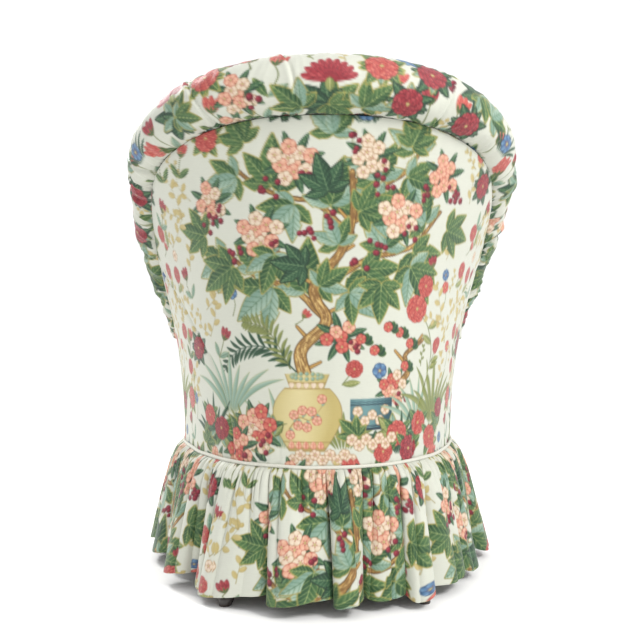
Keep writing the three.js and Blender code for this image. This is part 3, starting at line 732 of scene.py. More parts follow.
    def paint_upper_repeat(self) -> None:
        """Fringed flowers, buds, ferns and large leaves between one tree and the next."""
        for x, y, heading, size, dye in (
            (0.0, 0.70, 1.6, 0.042, ROSE), (-0.24, 0.72, 1.9, 0.036, ROSE),
            (0.24, 0.76, 1.2, 0.036, CORAL),
            (-0.10, 0.86, 1.4, 0.034, CORAL), (0.13, 0.86, 1.8, 0.034, ROSE),
        ):
            self.stem([(x, y - 0.07), (x - 0.008, y - 0.03), (x, y)], 0.0026)
            for turn in (-0.9, 0.9, 2.3, -2.3):
                self.vine_leaf(x, y - 0.035, heading + turn, size * 1.25, DARK_LEAF if turn > 0 else LEAF)
            self.carnation(x, y, heading, size, dye)
        for x, y, heading, dye in (
            (-0.12, 0.68, 1.9, CORAL), (-0.075, 0.73, 1.3, CORAL), (0.09, 0.70, 1.2, CORAL),
            (0.15, 0.68, 1.8, ROSE),
            (0.20, 0.68, 1.3, CORAL), (-0.18, 0.67, 1.2, CORAL), (-0.30, 0.68, 1.8, ROSE),
            (0.31, 0.67, 1.4, CORAL),
            (-0.17, 0.80, 1.2, CORAL), (0.05, 0.80, 1.9, CORAL), (0.32, 0.84, 1.4, ROSE),
            (-0.32, 0.84, 1.7, CORAL),
        ):
            stalk = onward(x, y, heading, -0.05)
            self.stem([stalk, (x + 0.004, y - 0.02), (x, y)], 0.0020)
            for turn, leaf in ((0.8, LEAF), (-0.8, PALE_LEAF)):
                self.blade(*stalk, heading + turn, 0.036, 0.014, leaf)
            self.bud(x, y, heading, 0.030, dye)
        for x, y, heading, dye in (
            (-0.04, 0.66, 2.4, LEAF), (0.05, 0.66, 0.8, LEAF), (-0.21, 0.77, 2.6, LEAF),
            (0.18, 0.77, 0.4, LEAF),
            (0.0, 0.78, 1.6, PALE_LEAF), (-0.05, 0.82, 2.0, LEAF), (0.27, 0.70, 0.7, PALE_LEAF),
            (-0.27, 0.80, 1.2, DARK_LEAF),
        ):
            self.vine_leaf(x, y, heading, 0.058, dye)
        self.bloom(0.12, 0.76, 0.040, BLUE, 7)
        self.bloom(-0.30, 0.76, 0.036, BLUE, 7)
        self.fern([(0.22, 0.80), (0.26, 0.84), (0.27, 0.89)], 0.024, OLIVE)
        self.fern([(-0.22, 0.84), (-0.18, 0.88), (-0.12, 0.90)], 0.024, DARK_LEAF)
        self.cherries(0.17, 0.72, 0.018, 6)
        self.cherries(-0.14, 0.76, 0.018, 6)

    def scatter(
        self, tries: int, low: float, high: float, reach: float, most: float
    ) -> Iterator[tuple[float, float, float]]:
        """Places with little printed round them, as x, y and a heading.

        Args:
            tries: How many places are tried.
            low: Lowest y.
            high: Highest y.
            reach: Size of the space that is looked at.
            most: Share of it that may be printed already.
        Yields:
            Each place, so that what is printed there counts for the next one.
        """
        for _ in range(tries):
            x, y = self.rng.uniform(-self.width / 2, self.width / 2), self.rng.uniform(low, high)
            place, _, _ = self.window(x, y, reach)
            if self.filled[place].mean() < most:
                yield x, y, self.rng.uniform(0.7, 2.4)

    def fill_upper_repeat(self) -> None:
        """Crowds the space between the trees with buds, roses and leaves."""
        for n, (x, y, heading) in enumerate(self.scatter(420, 0.585, 0.92, 0.028, 0.24)):
            kind = n % 6
            if kind in (0, 3):
                for turn in (0.4, 2.3, 4.1, 5.4):
                    self.vine_leaf(x, y, turn, 0.040, DARK_LEAF if kind else LEAF)
                self.rose(x, y, 0.044, ROSE if kind else CORAL)
            elif kind == 1:
                self.cluster(x, y, 0.028, 4, (PEACH, CREAM))
            elif kind == 2:
                for turn in (-0.7, 0, 0.7):
                    self.stem([onward(x, y, heading, -0.02), (x, y)], 0.0018)
                    self.bud(x + 0.014 * turn, y, heading + turn * 0.6, 0.032, CORAL)
            elif kind == 4:
                self.tuft(x, y - 0.02, 0.055, 8, DARK_LEAF)
                self.bloom(x, y, 0.030, BLUE, 7)
            else:
                self.vine_leaf(x, y - 0.02, heading, 0.056, LEAF)
                self.cherries(x, y, 0.016, 5)

    def fill_sides(self) -> None:
        """Rosebuds and larger tan sprays in the open ground beside the tree."""
        for n, (x, y, heading) in enumerate(self.scatter(900, 0.02, 0.60, 0.029, 0.13)):
            foot = onward(x, y, heading, -0.034)
            if n % 7 == 3:
                for turn in (0.5, 2.2, 3.9, 5.3):
                    self.vine_leaf(x, y, turn, 0.036, LEAF if n % 2 else DARK_LEAF)
                self.rose(x, y, 0.040, CORAL if n % 2 else ROSE)
            elif n % 3 == 0:
                self.stem([foot, (x - 0.004, y - 0.01), (x, y)], 0.0017)
                for turn in (0.8, -0.8):
                    self.blade(*foot, heading + turn, 0.030, 0.012, LEAF if n % 2 else PALE_LEAF)
                self.bud(x, y, heading, 0.026, CORAL if n % 2 else ROSE)
            elif n % 3 == 1:
                self.sprig(*foot, heading, 0.080, TAN)
                self.sprig(*foot, heading + 0.9, 0.060, TAN)
            else:
                self.stem([foot, (x, y)], 0.0016)
                self.blade(*foot, heading - 0.8, 0.032, 0.012, OLIVE)
                self.rose(x, y, 0.028, CORAL)

    def fill_gaps(self) -> None:
        """Small sprays wherever the ground is still empty."""
        for n, (x, y, heading) in enumerate(self.scatter(1500, 0.0, self.height, 0.018, 0.10)):
            foot = onward(x, y, heading, -0.017)
            kind = n % 5
            if kind < 2:
                self.sprig(*foot, heading, 0.042, TAN)
            elif kind == 2:
                self.stem([foot, (x, y - 0.004), (x, y)], 0.0012)
                self.bud(x, y, heading, 0.017, CORAL)
            elif kind == 3:
                self.sprig(*foot, heading, 0.038, OLIVE)
            else:
                self.bloom(x, y, 0.019, CREAM if n % 2 else BLUE)

    def sample(self, x: Array, y: Array) -> Array:
        """Linear colours of the print at places on the cloth."""
        column, row = x / self.pitch - 0.5, y / self.pitch - 0.5
        left, low = np.floor(column).astype(int), np.floor(row).astype(int)
        fx, fy = (column - left)[..., None], (row - low)[..., None]

        def at(i: Array, j: Array) -> Array:
            """The colour of whole cells."""
            return self.linear[j % self.rows, i % self.columns]

        return between_cells(at, left, low, fx, fy)


# ---------------------------------------------------------------- finishes


def feed(tree: bpy.types.NodeTree, node: bpy.types.Node, **inputs: object) -> bpy.types.Node:
    """Sets some inputs of a node; a socket given as a value is linked instead.

    Args:
        tree: The tree that holds it.
        node: The node.
        inputs: Values or sockets by input name, with _ for a space, or i0, i1 for a numbered input.
    Returns:
        The node.
    """
    for name, value in inputs.items():
        key = int(name[1:]) if name[0] == "i" and name[1:].isdigit() else name.replace("_", " ")
        if isinstance(value, bpy.types.NodeSocket):
            tree.links.new(value, node.inputs[key])
        else:
            node.inputs[key].default_value = value
    return node


def new_node(tree: bpy.types.NodeTree, kind: str, **inputs: object) -> bpy.types.Node:
    """A new node of a kind, with some of its inputs fed."""
    return feed(tree, tree.nodes.new(kind), **inputs)


def maths(tree: bpy.types.NodeTree, operation: str, *values: object) -> bpy.types.NodeSocket:
    """The result of a Math node."""
    node = new_node(tree, "ShaderNodeMath", **{f"i{k}": value for k, value in enumerate(values)})
    node.operation = operation
    return node.outputs[0]


def blend_colours(
    tree: bpy.types.NodeTree, share: object, first: object, second: object, way: str = "MIX",
) -> bpy.types.NodeSocket:
    """The result of mixing two colours by a share."""
    node = tree.nodes.new("ShaderNodeMix")
    node.data_type = "RGBA"
    node.blend_type = way
    return feed(tree, node, i0=share, i6=first, i7=second).outputs[2]


class Effect(Enum):
    """The surface effects that several finishes share."""

    WEAVE = "woven_threads"
    RUMPLE = "handled_cloth"
    GRAIN = "wood_grain"


class EffectShop:
    """Makes each shared effect once, as a node group."""

    def __init__(self) -> None:
        """Starts with no effect made."""
        self.made: dict[Effect, bpy.types.NodeTree] = {}

    def place(self, tree: bpy.types.NodeTree, effect: Effect, **inputs: object) -> bpy.types.Node:
        """Puts an effect into a material with its own values."""
        if effect not in self.made:
            makers = {Effect.WEAVE: self.weave, Effect.RUMPLE: self.rumple, Effect.GRAIN: self.grain}
            self.made[effect] = makers[effect]()
        node = tree.nodes.new("ShaderNodeGroup")
        node.node_tree = self.made[effect]
        return feed(tree, node, **inputs)

    def group(self, effect: Effect, sizes: dict[str, float], outputs: tuple[str, ...]) -> tuple:
        """An empty group with a vector input, some numbers and some number outputs."""
        tree = bpy.data.node_groups.new(effect.value, "ShaderNodeTree")
        tree.interface.new_socket(name="Vector", in_out="INPUT", socket_type="NodeSocketVector")
        for name, value in sizes.items():
            item = tree.interface.new_socket(name=name, in_out="INPUT", socket_type="NodeSocketFloat")
            item.default_value = value
        for name in outputs:
            tree.interface.new_socket(name=name, in_out="OUTPUT", socket_type="NodeSocketFloat")
        return tree, tree.nodes.new("NodeGroupInput"), tree.nodes.new("NodeGroupOutput")

    def weave(self) -> bpy.types.NodeTree:
        """Crossing threads: their height, and slubs that are a little darker."""
        tree, given, out = self.group(Effect.WEAVE, {"Threads": 1200.0}, ("Height", "Slub"))
        split = new_node(tree, "ShaderNodeSeparateXYZ", Vector=given.outputs["Vector"])
        turns = maths(tree, "MULTIPLY", given.outputs["Threads"], math.pi)
        warp = maths(tree, "SINE", maths(tree, "MULTIPLY", split.outputs["X"], turns))
        weft = maths(tree, "SINE", maths(tree, "MULTIPLY", split.outputs["Y"], turns))
        rest = maths(tree, "SINE", maths(tree, "MULTIPLY", split.outputs["Z"], turns))
        crossing = maths(tree, "ADD", maths(tree, "MULTIPLY", warp, weft), maths(tree, "ABSOLUTE", rest))
        drawn = self.drawn(tree, given.outputs["Vector"], (60.0, 700.0, 60.0))
        slub = new_node(tree, "ShaderNodeTexNoise", Vector=drawn, Scale=1.0, Detail=2.0)
        feed(tree, out, Height=crossing, Slub=slub.outputs[0])
        return tree

    def drawn(self, tree: bpy.types.NodeTree, vector: object, scales: tuple) -> bpy.types.NodeSocket:
        """A vector whose three parts are each multiplied."""
        node = new_node(tree, "ShaderNodeVectorMath", i0=vector, i1=scales)
        node.operation = "MULTIPLY"
        return node.outputs[0]

    def rumple(self) -> bpy.types.NodeTree:
        """Soft creases and a cloudy tone, as handled cloth has."""
        tree, given, out = self.group(Effect.RUMPLE, {"Size": 30.0}, ("Height", "Cloud"))
        size, place = given.outputs["Size"], given.outputs["Vector"]
        crease = new_node(tree, "ShaderNodeTexNoise", Vector=place, Scale=size, Detail=3.0, Distortion=0.6)
        broad = maths(tree, "MULTIPLY", size, 0.3)
        cloud = new_node(tree, "ShaderNodeTexNoise", Vector=place, Detail=2.0, Scale=broad)
        feed(tree, out, Height=crease.outputs[0], Cloud=cloud.outputs[0])
        return tree

    def grain(self) -> bpy.types.NodeTree:
        """Growth lines and pores that run along one axis of the vector."""
        tree, given, out = self.group(Effect.GRAIN, {"Scale": 40.0}, ("Grain", "Pores"))
        drawn = self.drawn(tree, given.outputs["Vector"], (1.0, 1.0, 0.09))
        scale = given.outputs["Scale"]
        lines = new_node(tree, "ShaderNodeTexNoise", Vector=drawn, Scale=scale, Detail=5.0, Distortion=1.2)
        fine = maths(tree, "MULTIPLY", scale, 14.0)
        pores = new_node(tree, "ShaderNodeTexNoise", Vector=drawn, Scale=fine, Detail=2.0)
        feed(tree, out, Grain=lines.outputs[0], Pores=pores.outputs[0])
        return tree


EFFECTS = EffectShop()


@dataclass(frozen=True)
class Finish:
    """What every finish has: a name, and the name of the record's slot for it, which nothing in this script
    reads.
    """

    name: str
    slot: str

    def start(self) -> tuple[bpy.types.NodeTree, bpy.types.Node, bpy.types.Material]:
        """A new material with its shader node."""
        material = bpy.data.materials.new(self.name)
        material.use_nodes = True
        tree = material.node_tree
        return tree, tree.nodes["Principled BSDF"], material

    def coat(
        self, tree: bpy.types.NodeTree, shader: bpy.types.Node, layers: tuple, wear: object,
        swing: float, smoothest: float, **inputs: object,
    ) -> None:
        """Feeds the shader, with a roughness that varies and a chain of bumps.

        Args:
            tree: The material's tree.
            shader: Its shader node.
            layers: Each bump's height and its relief in metres.
            wear: Where the finish is rougher, from 0 to 1.
            swing: How much rougher it gets there.
            smoothest: Its roughness elsewhere.
            inputs: Other inputs of the shader.
        """
        rough = maths(tree, "MULTIPLY_ADD", wear, swing, smoothest)
        feed(tree, shader, Roughness=rough, **inputs)
        normal = None
        for height, relief in layers:
            node = new_node(tree, "ShaderNodeBump", Height=height, Distance=relief, Strength=1.0)
            if normal is not None:
                tree.links.new(normal, node.inputs["Normal"])
            normal = node.outputs["Normal"]
        tree.links.new(normal, shader.inputs["Normal"])


@dataclass(frozen=True)
class PrintedCotton(Finish):
    """Fine cotton with the print dyed into it and a light glaze."""

    threads: float = 1500.0
    roughness: float = 0.52
    sheen: float = 0.12

    def material(self) -> bpy.types.Material:
        """The finish as a material."""
        tree, shader, material = self.start()
        dye = tree.nodes.new("ShaderNodeAttribute")
        dye.attribute_name = PRINT_COLOUR
        cloth = tree.nodes.new("ShaderNodeUVMap")
        cloth.uv_map = CLOTH_UV
        where = tree.nodes.new("ShaderNodeTexCoord").outputs["Object"]
        weave = EFFECTS.place(tree, Effect.WEAVE, Vector=cloth.outputs[0], Threads=self.threads)
        rumple = EFFECTS.place(tree, Effect.RUMPLE, Vector=where, Size=34.0)
        slub = maths(tree, "MULTIPLY_ADD", weave.outputs["Slub"], 0.10, 0.95)
        cloud = maths(tree, "MULTIPLY_ADD", rumple.outputs["Cloud"], 0.08, 0.96)
        tone = maths(tree, "MULTIPLY", slub, cloud)
        grey = new_node(tree, "ShaderNodeCombineColor", Red=tone, Green=tone, Blue=tone)
        colour = blend_colours(tree, 1.0, dye.outputs["Color"], grey.outputs[0], "MULTIPLY")
        layers = (weave.outputs["Height"], 0.00006), (rumple.outputs["Height"], 0.0010)
        self.coat(
            tree, shader, layers, rumple.outputs["Cloud"], 0.16, self.roughness - 0.08,
            Base_Color=colour, Sheen_Weight=self.sheen, Sheen_Roughness=0.5, Specular_IOR_Level=0.35,
        )
        return material


@dataclass(frozen=True)
class PlainCloth(Finish):
    """A woven cloth of one colour."""

    light: tuple[float, float, float] = (0.8, 0.8, 0.8)
    dark: tuple[float, float, float] = (0.6, 0.6, 0.6)
    threads: float = 900.0
    relief: float = 0.00012
    roughness: float = 0.85

    def material(self) -> bpy.types.Material:
        """The finish as a material."""
        tree, shader, material = self.start()
        where = tree.nodes.new("ShaderNodeTexCoord").outputs["Object"]
        weave = EFFECTS.place(tree, Effect.WEAVE, Vector=where, Threads=self.threads)
        rumple = EFFECTS.place(tree, Effect.RUMPLE, Vector=where, Size=60.0)
        share = maths(tree, "MULTIPLY_ADD", weave.outputs["Height"], 0.25, 0.4)
        share = maths(tree, "ADD", share, maths(tree, "MULTIPLY", weave.outputs["Slub"], 0.3))
        colour = blend_colours(tree, share, (*self.dark, 1.0), (*self.light, 1.0))
        layers = (weave.outputs["Height"], self.relief), (rumple.outputs["Height"], 0.0006)
        self.coat(
            tree, shader, layers, rumple.outputs["Cloud"], 0.15, self.roughness - 0.08,
            Base_Color=colour, Sheen_Weight=0.15,
        )
        return material


@dataclass(frozen=True)
class Timber(Finish):
    """Wood with its grain along Z, sawn or polished."""

    light: tuple[float, float, float] = (0.5, 0.3, 0.15)
    dark: tuple[float, float, float] = (0.3, 0.17, 0.08)
    scale: float = 40.0
    roughness: float = 0.5
    polish: float = 0.0
    worn: tuple[float, float, float] | None = None

    def material(self) -> bpy.types.Material:
        """The finish as a material."""
        tree, shader, material = self.start()
        where = tree.nodes.new("ShaderNodeTexCoord").outputs["Object"]
        grain = EFFECTS.place(tree, Effect.GRAIN, Vector=where, Scale=self.scale)
        share = maths(tree, "MULTIPLY_ADD", grain.outputs["Pores"], 0.3, -0.15)
        share = maths(tree, "ADD", share, grain.outputs["Grain"])
        colour = blend_colours(tree, share, (*self.dark, 1.0), (*self.light, 1.0))
        if self.worn:
            sharp = tree.nodes.new("ShaderNodeNewGeometry").outputs["Pointiness"]
            edge = maths(tree, "MULTIPLY_ADD", sharp, 9.0, -4.8)
            patches = maths(tree, "MULTIPLY", edge, grain.outputs["Pores"])
            patchy = new_node(tree, "ShaderNodeClamp", Value=patches)
            colour = blend_colours(tree, patchy.outputs[0], colour, (*self.worn, 1.0))
        self.coat(
            tree, shader, ((grain.outputs["Pores"], 0.00025),), grain.outputs["Pores"], 0.25,
            self.roughness - 0.12, Base_Color=colour, Coat_Weight=self.polish, Coat_Roughness=0.2,
        )
        return material


@dataclass(frozen=True)
class Wire(Finish):
    """Drawn steel wire with a thin copper wash that has dulled."""

    light: tuple[float, float, float] = (0.46, 0.36, 0.28)
    dark: tuple[float, float, float] = (0.20, 0.16, 0.13)

    def material(self) -> bpy.types.Material:
        """The finish as a material."""
        tree, shader, material = self.start()
        where = tree.nodes.new("ShaderNodeTexCoord").outputs["Object"]
        dull = EFFECTS.place(tree, Effect.RUMPLE, Vector=where, Size=160.0)
        colour = blend_colours(tree, dull.outputs["Cloud"], (*self.dark, 1.0), (*self.light, 1.0))
        layers = ((dull.outputs["Height"], 0.0001),)
        self.coat(tree, shader, layers, dull.outputs["Cloud"], 0.3, 0.25, Base_Color=colour, Metallic=0.9)
        return material


class Wardrobe:
    """The finishes of this chair, each made into a material once."""

    CHINTZ = PrintedCotton("glazed_chintz", "chintz")
    PIPING = PlainCloth(
        "piping_cotton", "piping", light=(0.58, 0.58, 0.51), dark=(0.44, 0.43, 0.37), roughness=0.7,
    )
    LINING = PlainCloth(
        "black_lining", "lining", light=(0.035, 0.033, 0.032), dark=(0.012, 0.011, 0.011),
    )
    HESSIAN = PlainCloth(
        "hessian_cloth", "hessian", light=(0.46, 0.33, 0.16), dark=(0.17, 0.11, 0.045),
        threads=420.0, relief=0.0003, roughness=0.95,
    )
    JUTE = PlainCloth(
        "jute_web", "jute_webbing", light=(0.50, 0.37, 0.19), dark=(0.22, 0.15, 0.07),
        threads=300.0, relief=0.0004, roughness=0.95,
    )
    BEECH = Timber(
        "sawn_beech", "beech", light=(0.62, 0.40, 0.21), dark=(0.40, 0.23, 0.11), roughness=0.62,
    )
    EBONISED = Timber(
        "ebonised_leg", "ebonised_wood", light=(0.030, 0.020, 0.015), dark=(0.008, 0.006, 0.005),
        scale=60.0, roughness=0.38, polish=0.35, worn=(0.11, 0.055, 0.028),
    )
    STEEL = Wire("coppered_wire", "spring_steel")

    def __init__(self) -> None:
        """Starts with nothing made."""
        self.made: dict[str, bpy.types.Material] = {}

    def material(self, finish: Finish) -> bpy.types.Material:
        """The material of a finish."""
        if finish.name not in self.made:
            self.made[finish.name] = finish.material()
        return self.made[finish.name]


WARDROBE = Wardrobe()


# ---------------------------------------------------------------- laying cloth


def run_length(points: Array, axis: int, start: int = 0) -> Array:
    """Distance along a grid of points, from one of its rows or columns.

    Args:
        points: The grid, as rows, columns and x, y, z.
        axis: 0 to go up the rows, 1 to go along the columns.
        start: The row or column where the distance is nought.
    Returns:
        The distance at each point.
    """
    steps = np.linalg.norm(np.diff(points, axis=axis), axis=-1)
    run = np.concatenate([np.zeros_like(np.take(steps, [0], axis)), np.cumsum(steps, axis)], axis)
    return run - np.take(run, [start], axis)


def even_shares(points: Array, count: int) -> Array:
    """Places along a line of points, as whole and part indices, that are evenly spaced in metres."""
    run = np.concatenate([[0], np.cumsum(np.linalg.norm(np.diff(points, axis=0), axis=1))])
    return np.interp(np.linspace(0, run[-1], count), run, np.arange(len(points)))


def add_piece(mesh: bpy.types.Mesh, finish: Finish) -> bpy.types.Object:
    """Gives a mesh its finish, and adds it to the chair's one body as a piece."""
    mesh.materials.append(WARDROBE.material(finish))
    mesh.shade_smooth()
    piece = bpy.data.objects.new(mesh.name, mesh)
    bpy.context.scene.collection.objects.link(piece)
    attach(piece, BODY)
    return piece


@dataclass
class ClothGrid:
    """A grid of cloth laid through given points, with its print and its place on the flat cloth."""

    name: str
    points: Array
    flat_x: Array
    flat_y: Array
    finish: Finish = Wardrobe.CHINTZ
    centre: tuple[float, float, float] = (0.0, 0.0, 0.5)

    def build(self, printed: ChintzPrint | None, close_ends: bool = False) -> bpy.types.Object:
        """Makes the mesh.

        Args:
            printed: The print, or None for a cloth of one colour.
            close_ends: True for a tube, whose open ends are filled.
        Returns:
            The object.
        """
        rows, columns = self.points.shape[:2]
        bm = bmesh.new()
        bmesh.ops.create_grid(bm, x_segments=columns - 1, y_segments=rows - 1, size=0.5)
        mesh = bpy.data.meshes.new(self.name)
        bm.to_mesh(mesh)
        bm.free()
        flat = np.empty(len(mesh.vertices) * 3)
        mesh.vertices.foreach_get("co", flat)
        flat = flat.reshape(-1, 3) + 0.5
        column = np.rint(flat[:, 0] * (columns - 1)).astype(int)
        row = np.rint(flat[:, 1] * (rows - 1)).astype(int)
        mesh.vertices.foreach_set("co", self.points[row, column].ravel())
        corner = np.empty(len(mesh.loops), int)
        mesh.loops.foreach_get("vertex_index", corner)
        x, y = self.flat_x[row, column], self.flat_y[row, column]
        layer = mesh.uv_layers.new(name=CLOTH_UV)
        layer.data.foreach_set("uv", np.stack([x[corner], y[corner]], axis=-1).ravel())
        if printed:
            colour = np.ones((len(x), 4))
            colour[:, :3] = printed.sample(x, y)
            attribute = mesh.color_attributes.new(PRINT_COLOUR, "FLOAT_COLOR", "POINT")
            attribute.data.foreach_set("color", colour.ravel())
        self.finish_faces(mesh, close_ends)
        return add_piece(mesh, self.finish)

    def finish_faces(self, mesh: bpy.types.Mesh, close_ends: bool) -> None:
        """Welds the seams, fills the ends and turns the faces the right way."""
        bm = bmesh.new()
        bm.from_mesh(mesh)
        bmesh.ops.remove_doubles(bm, verts=bm.verts, dist=2e-6)
        bmesh.ops.dissolve_degenerate(bm, edges=bm.edges, dist=1e-7)
        if close_ends:
            rim = [edge for edge in bm.edges if edge.is_boundary]
            bmesh.ops.holes_fill(bm, edges=rim, sides=0)
        if any(edge.is_boundary for edge in bm.edges):
            centre = Vector(self.centre)
            sample = list(bm.faces)[:: max(1, len(bm.faces) // 4000)]
            looks = sum(f.normal.dot((f.calc_center_median() - centre).normalized()) for f in sample)
            wrong = looks < 0
        else:
            wrong = bm.calc_volume(signed=True) < 0
        if wrong:
            bmesh.ops.reverse_faces(bm, faces=bm.faces)
        bm.to_mesh(mesh)
        bm.free()


def declare_stretched(piece: bpy.types.Object, flat_x: Array, flat_y: Array) -> None:
    """Logs the size of cloth that a cover is cut from, with a turning all round, to be stretched over its frame.
    """
    turning, least_share = 0.02, 0.31
    width = float(np.ptp(flat_x)) + turning
    length = float(np.ptp(flat_y)) + turning
    LOG.info("%s is cut from %.0f x %.0f mm", piece.name, width * 1000, length * 1000)


# ---------------------------------------------------------------- covers on the outside of the tub


@dataclass
class OutsideCovers:
    """The cover over the back of the tub and one over the outside of each arm."""

    chintz: ChintzPrint
    seam_foot: float = 50 * DEGREE
    seam_spread: float = 53.5 * DEGREE
    seam_power: float = 2.2
    face: float = 117.9 * DEGREE
    foot_z: float = 0.2405
    proud: float = 0.0008
    tuck: float = 0.0022

    def side_seam(self, height: Array) -> Array:
        """Angle of the side seam at a share of its height."""
        return self.seam_foot + self.seam_spread * height**self.seam_power

    def lie(self, phi: Array, z: Array, up: Array, edge: Array) -> Array:
        """Points of a cover that puckers at its foot and dips into its seams.

        Args:
            phi: Angles.
            z: Heights.
            up: Distance above the foot.
            edge: Distance from the nearest seam.
        Returns:
            The points.
        """
        across = phi * 0.25
        pucker = 0.0011 * np.exp(-up / 0.022) * Noise(11)(across / 0.007, up / 0.03)
        drag = 0.0008 * Noise(12)(across / 0.035 + up / 0.30, up / 0.12)
        fullness = 0.0018 * (1 - np.exp(-edge / 0.012))
        dip = self.tuck * np.exp(-edge / 0.0035)
        return TUB.point(phi, z, dip - self.proud - fullness - pucker - drag)

    def back(self) -> None:
        """The outside back."""
        columns, rows = 340, 276
        across, height = np.meshgrid(np.linspace(-1, 1, columns), np.linspace(0, 1, rows))
        phi = across * self.side_seam(height)
        top = TUB.top_z(across * self.side_seam(np.array(1.0)))
        z = mix(self.foot_z, top, height)
        edge = np.minimum((1 - np.abs(across)) * 0.33, (1 - height) * 0.55)
        points = self.lie(phi, z, z - self.foot_z, edge)
        flat_x, flat_y = -TUB.girth(phi, z), TUB.climb(z)
        piece = ClothGrid("outside_back_panel", points, flat_x, flat_y).build(self.chintz)
        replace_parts(piece, "outside_back_cover")
        declare_stretched(piece, flat_x, flat_y)

    def arm(self, side: int, name: str) -> None:
        """The outside of one arm."""
        columns, rows = 190, 150
        across, height = np.meshgrid(np.linspace(0, 1, columns), np.linspace(0, 1, rows))
        start = self.side_seam(height)
        phi = side * mix(start, self.face, across)
        top = TUB.top_z(mix(self.side_seam(np.array(1.0)), self.face, across))
        z = mix(self.foot_z, top, height)
        edge = np.minimum(np.minimum(across, 1 - across) * 0.2, (1 - height) * 0.3)
        points = self.lie(phi, z, z - self.foot_z, edge)
        flat_x, flat_y = -TUB.girth(phi, z), TUB.climb(z)
        piece = ClothGrid(f"outside_arm_panel_{name}", points, flat_x, flat_y).build(self.chintz)
        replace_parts(piece, f"outside_arm_cover_{name}")
        declare_stretched(piece, flat_x, flat_y)

    def facing(self, side: int, name: str) -> None:
        """The cover on the front end of one arm, under the roll."""
        columns, rows = 70, 130
        low, high = 0.239, 0.4415
        across, height = np.meshgrid(np.linspace(0, 1, columns), np.linspace(0, 1, rows))
        z = mix(low, high, height)
        inset = mix(0.0, TUB.inner_inset(np.array(self.face), z), across)
        above_seat = np.clip((z - 0.385) / 0.03, 0, 1)
        puff = 1.6 * DEGREE * (np.sin(np.pi * across) * np.sin(np.pi * np.clip(height, 0, 1))) ** 0.5
        phi = side * (self.face + puff * above_seat)
        points = TUB.point(phi, z, inset)
        flat_x, flat_y = side * run_length(points, 1) + 0.1, run_length(points, 0) + 0.05
        grid = ClothGrid(f"arm_facing_{name}", points, flat_x, flat_y, centre=(side * 0.2, 0.3, 0.3))
        piece = grid.build(self.chintz)
        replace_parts(piece, f"arm_front_cover_{name}")
        declare_stretched(piece, flat_x, flat_y)

    def build(self) -> None:
        """Makes all five covers."""
        self.back()
        for side, name in ((1, "left"), (-1, "right")):
            self.arm(side, name)
            self.facing(side, name)


@dataclass
class RolledEdge:
    """The stuffed roll along the top of the back and down both arms, with its cover drawn into folds."""

    chintz: ChintzPrint
    columns: int = 900
    rows: int = 104
    cap_columns: int = 14
    cap_bulge: float = 0.010
    offset: float = 0.08
    cloth_foot: float = 0.635
    pleats: tuple[float, ...] = (-0.47, -0.40, -0.165, 0.075, 0.22, 0.42, 0.455, 0.49)

    def folds(self, run: Array, angle: Array) -> Array:
        """Height of the folds of the cover at a distance along the roll and an angle round it."""
        side = np.clip((np.abs(run) - 0.26) / 0.20, 0, 1)
        drawn = mix(0.35, 1.0, np.abs(np.cos(angle)) ** 1.5)
        sway = 0.010 * Noise(21)(angle * 1.3, run / 0.05)
        fine = Noise(22)((run + sway) / 0.0115, angle * 0.55)
        broad = Noise(23)((run + 2 * sway) / 0.026, angle * 0.7)
        ridged = 0.6 - 1.3 * np.abs(fine)
        folds = mix(0.0020, 0.0058, side) * drawn * ridged + mix(0.0012, 0.0046, side) * broad
        for n, place in enumerate(self.pleats):
            along = run - place - 0.012 * np.sin(angle + n) - 0.008 * (angle - math.pi)
            lip = np.exp(-((along - 0.0045) ** 2) / 0.0055**2)
            folds += 0.0024 * lip - 0.0034 * np.exp(-(along**2) / 0.0024**2)
        return folds

    def build(self) -> None:
        """Makes the roll."""
        dense = np.linspace(-TUB.arm_end, TUB.arm_end, 1600)
        line = self.centre_line(dense)
        phi = np.interp(even_shares(line, self.columns), np.arange(len(dense)), dense)
        ends = np.sin(np.linspace(0, math.pi / 2, self.cap_columns, endpoint=False))
        phi = np.concatenate([np.full(len(ends), phi[0]), phi, np.full(len(ends), phi[-1])])
        shrink = np.concatenate([ends, np.ones(self.columns), ends[::-1]])
        push = self.cap_bulge * np.sqrt(np.maximum(0, 1 - shrink**2)) * np.sign(phi)
        along, out, up = TUB.edge_frame(phi)
        centre = self.centre_line(phi) + along * push[:, None]
        run = run_length(centre[None], 1, len(phi) // 2)[0]
        angle = np.linspace(0, 2 * math.pi, self.rows)[:, None]
        span, turn = np.broadcast_arrays(run, angle)
        radius = (TUB.roll_radius(phi) + self.folds(span, turn)) * shrink
        sweep = np.sin(angle)[..., None] * out - np.cos(angle)[..., None] * up
        points = centre + sweep * radius[..., None]
        gathers = 0.0012 * np.cos(18 * angle) * np.sin(np.pi * shrink) * np.sign(phi)
        points = points + along * gathers[..., None]
        points[-1] = points[0]
        flat_x = -span
        flat_y = self.cloth_foot + angle * TUB.roll_radius(phi)
        piece = ClothGrid("rolled_edge", points, flat_x, flat_y).build(self.chintz)
        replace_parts(piece, "roll_cover", "roll_stuffing")
        LOG.info("rolled edge follows %.2f m", np.ptp(run))

    def centre_line(self, phi: Array) -> Array:
        """Middle of the roll at each angle."""
        _, out, up = TUB.edge_frame(phi)
        radius = TUB.roll_radius(phi)[:, None]
        return TUB.point(phi, TUB.edge_z(phi)) - self.offset * radius * out + radius * up


# ---------------------------------------------------------------- inside of the tub and the seat


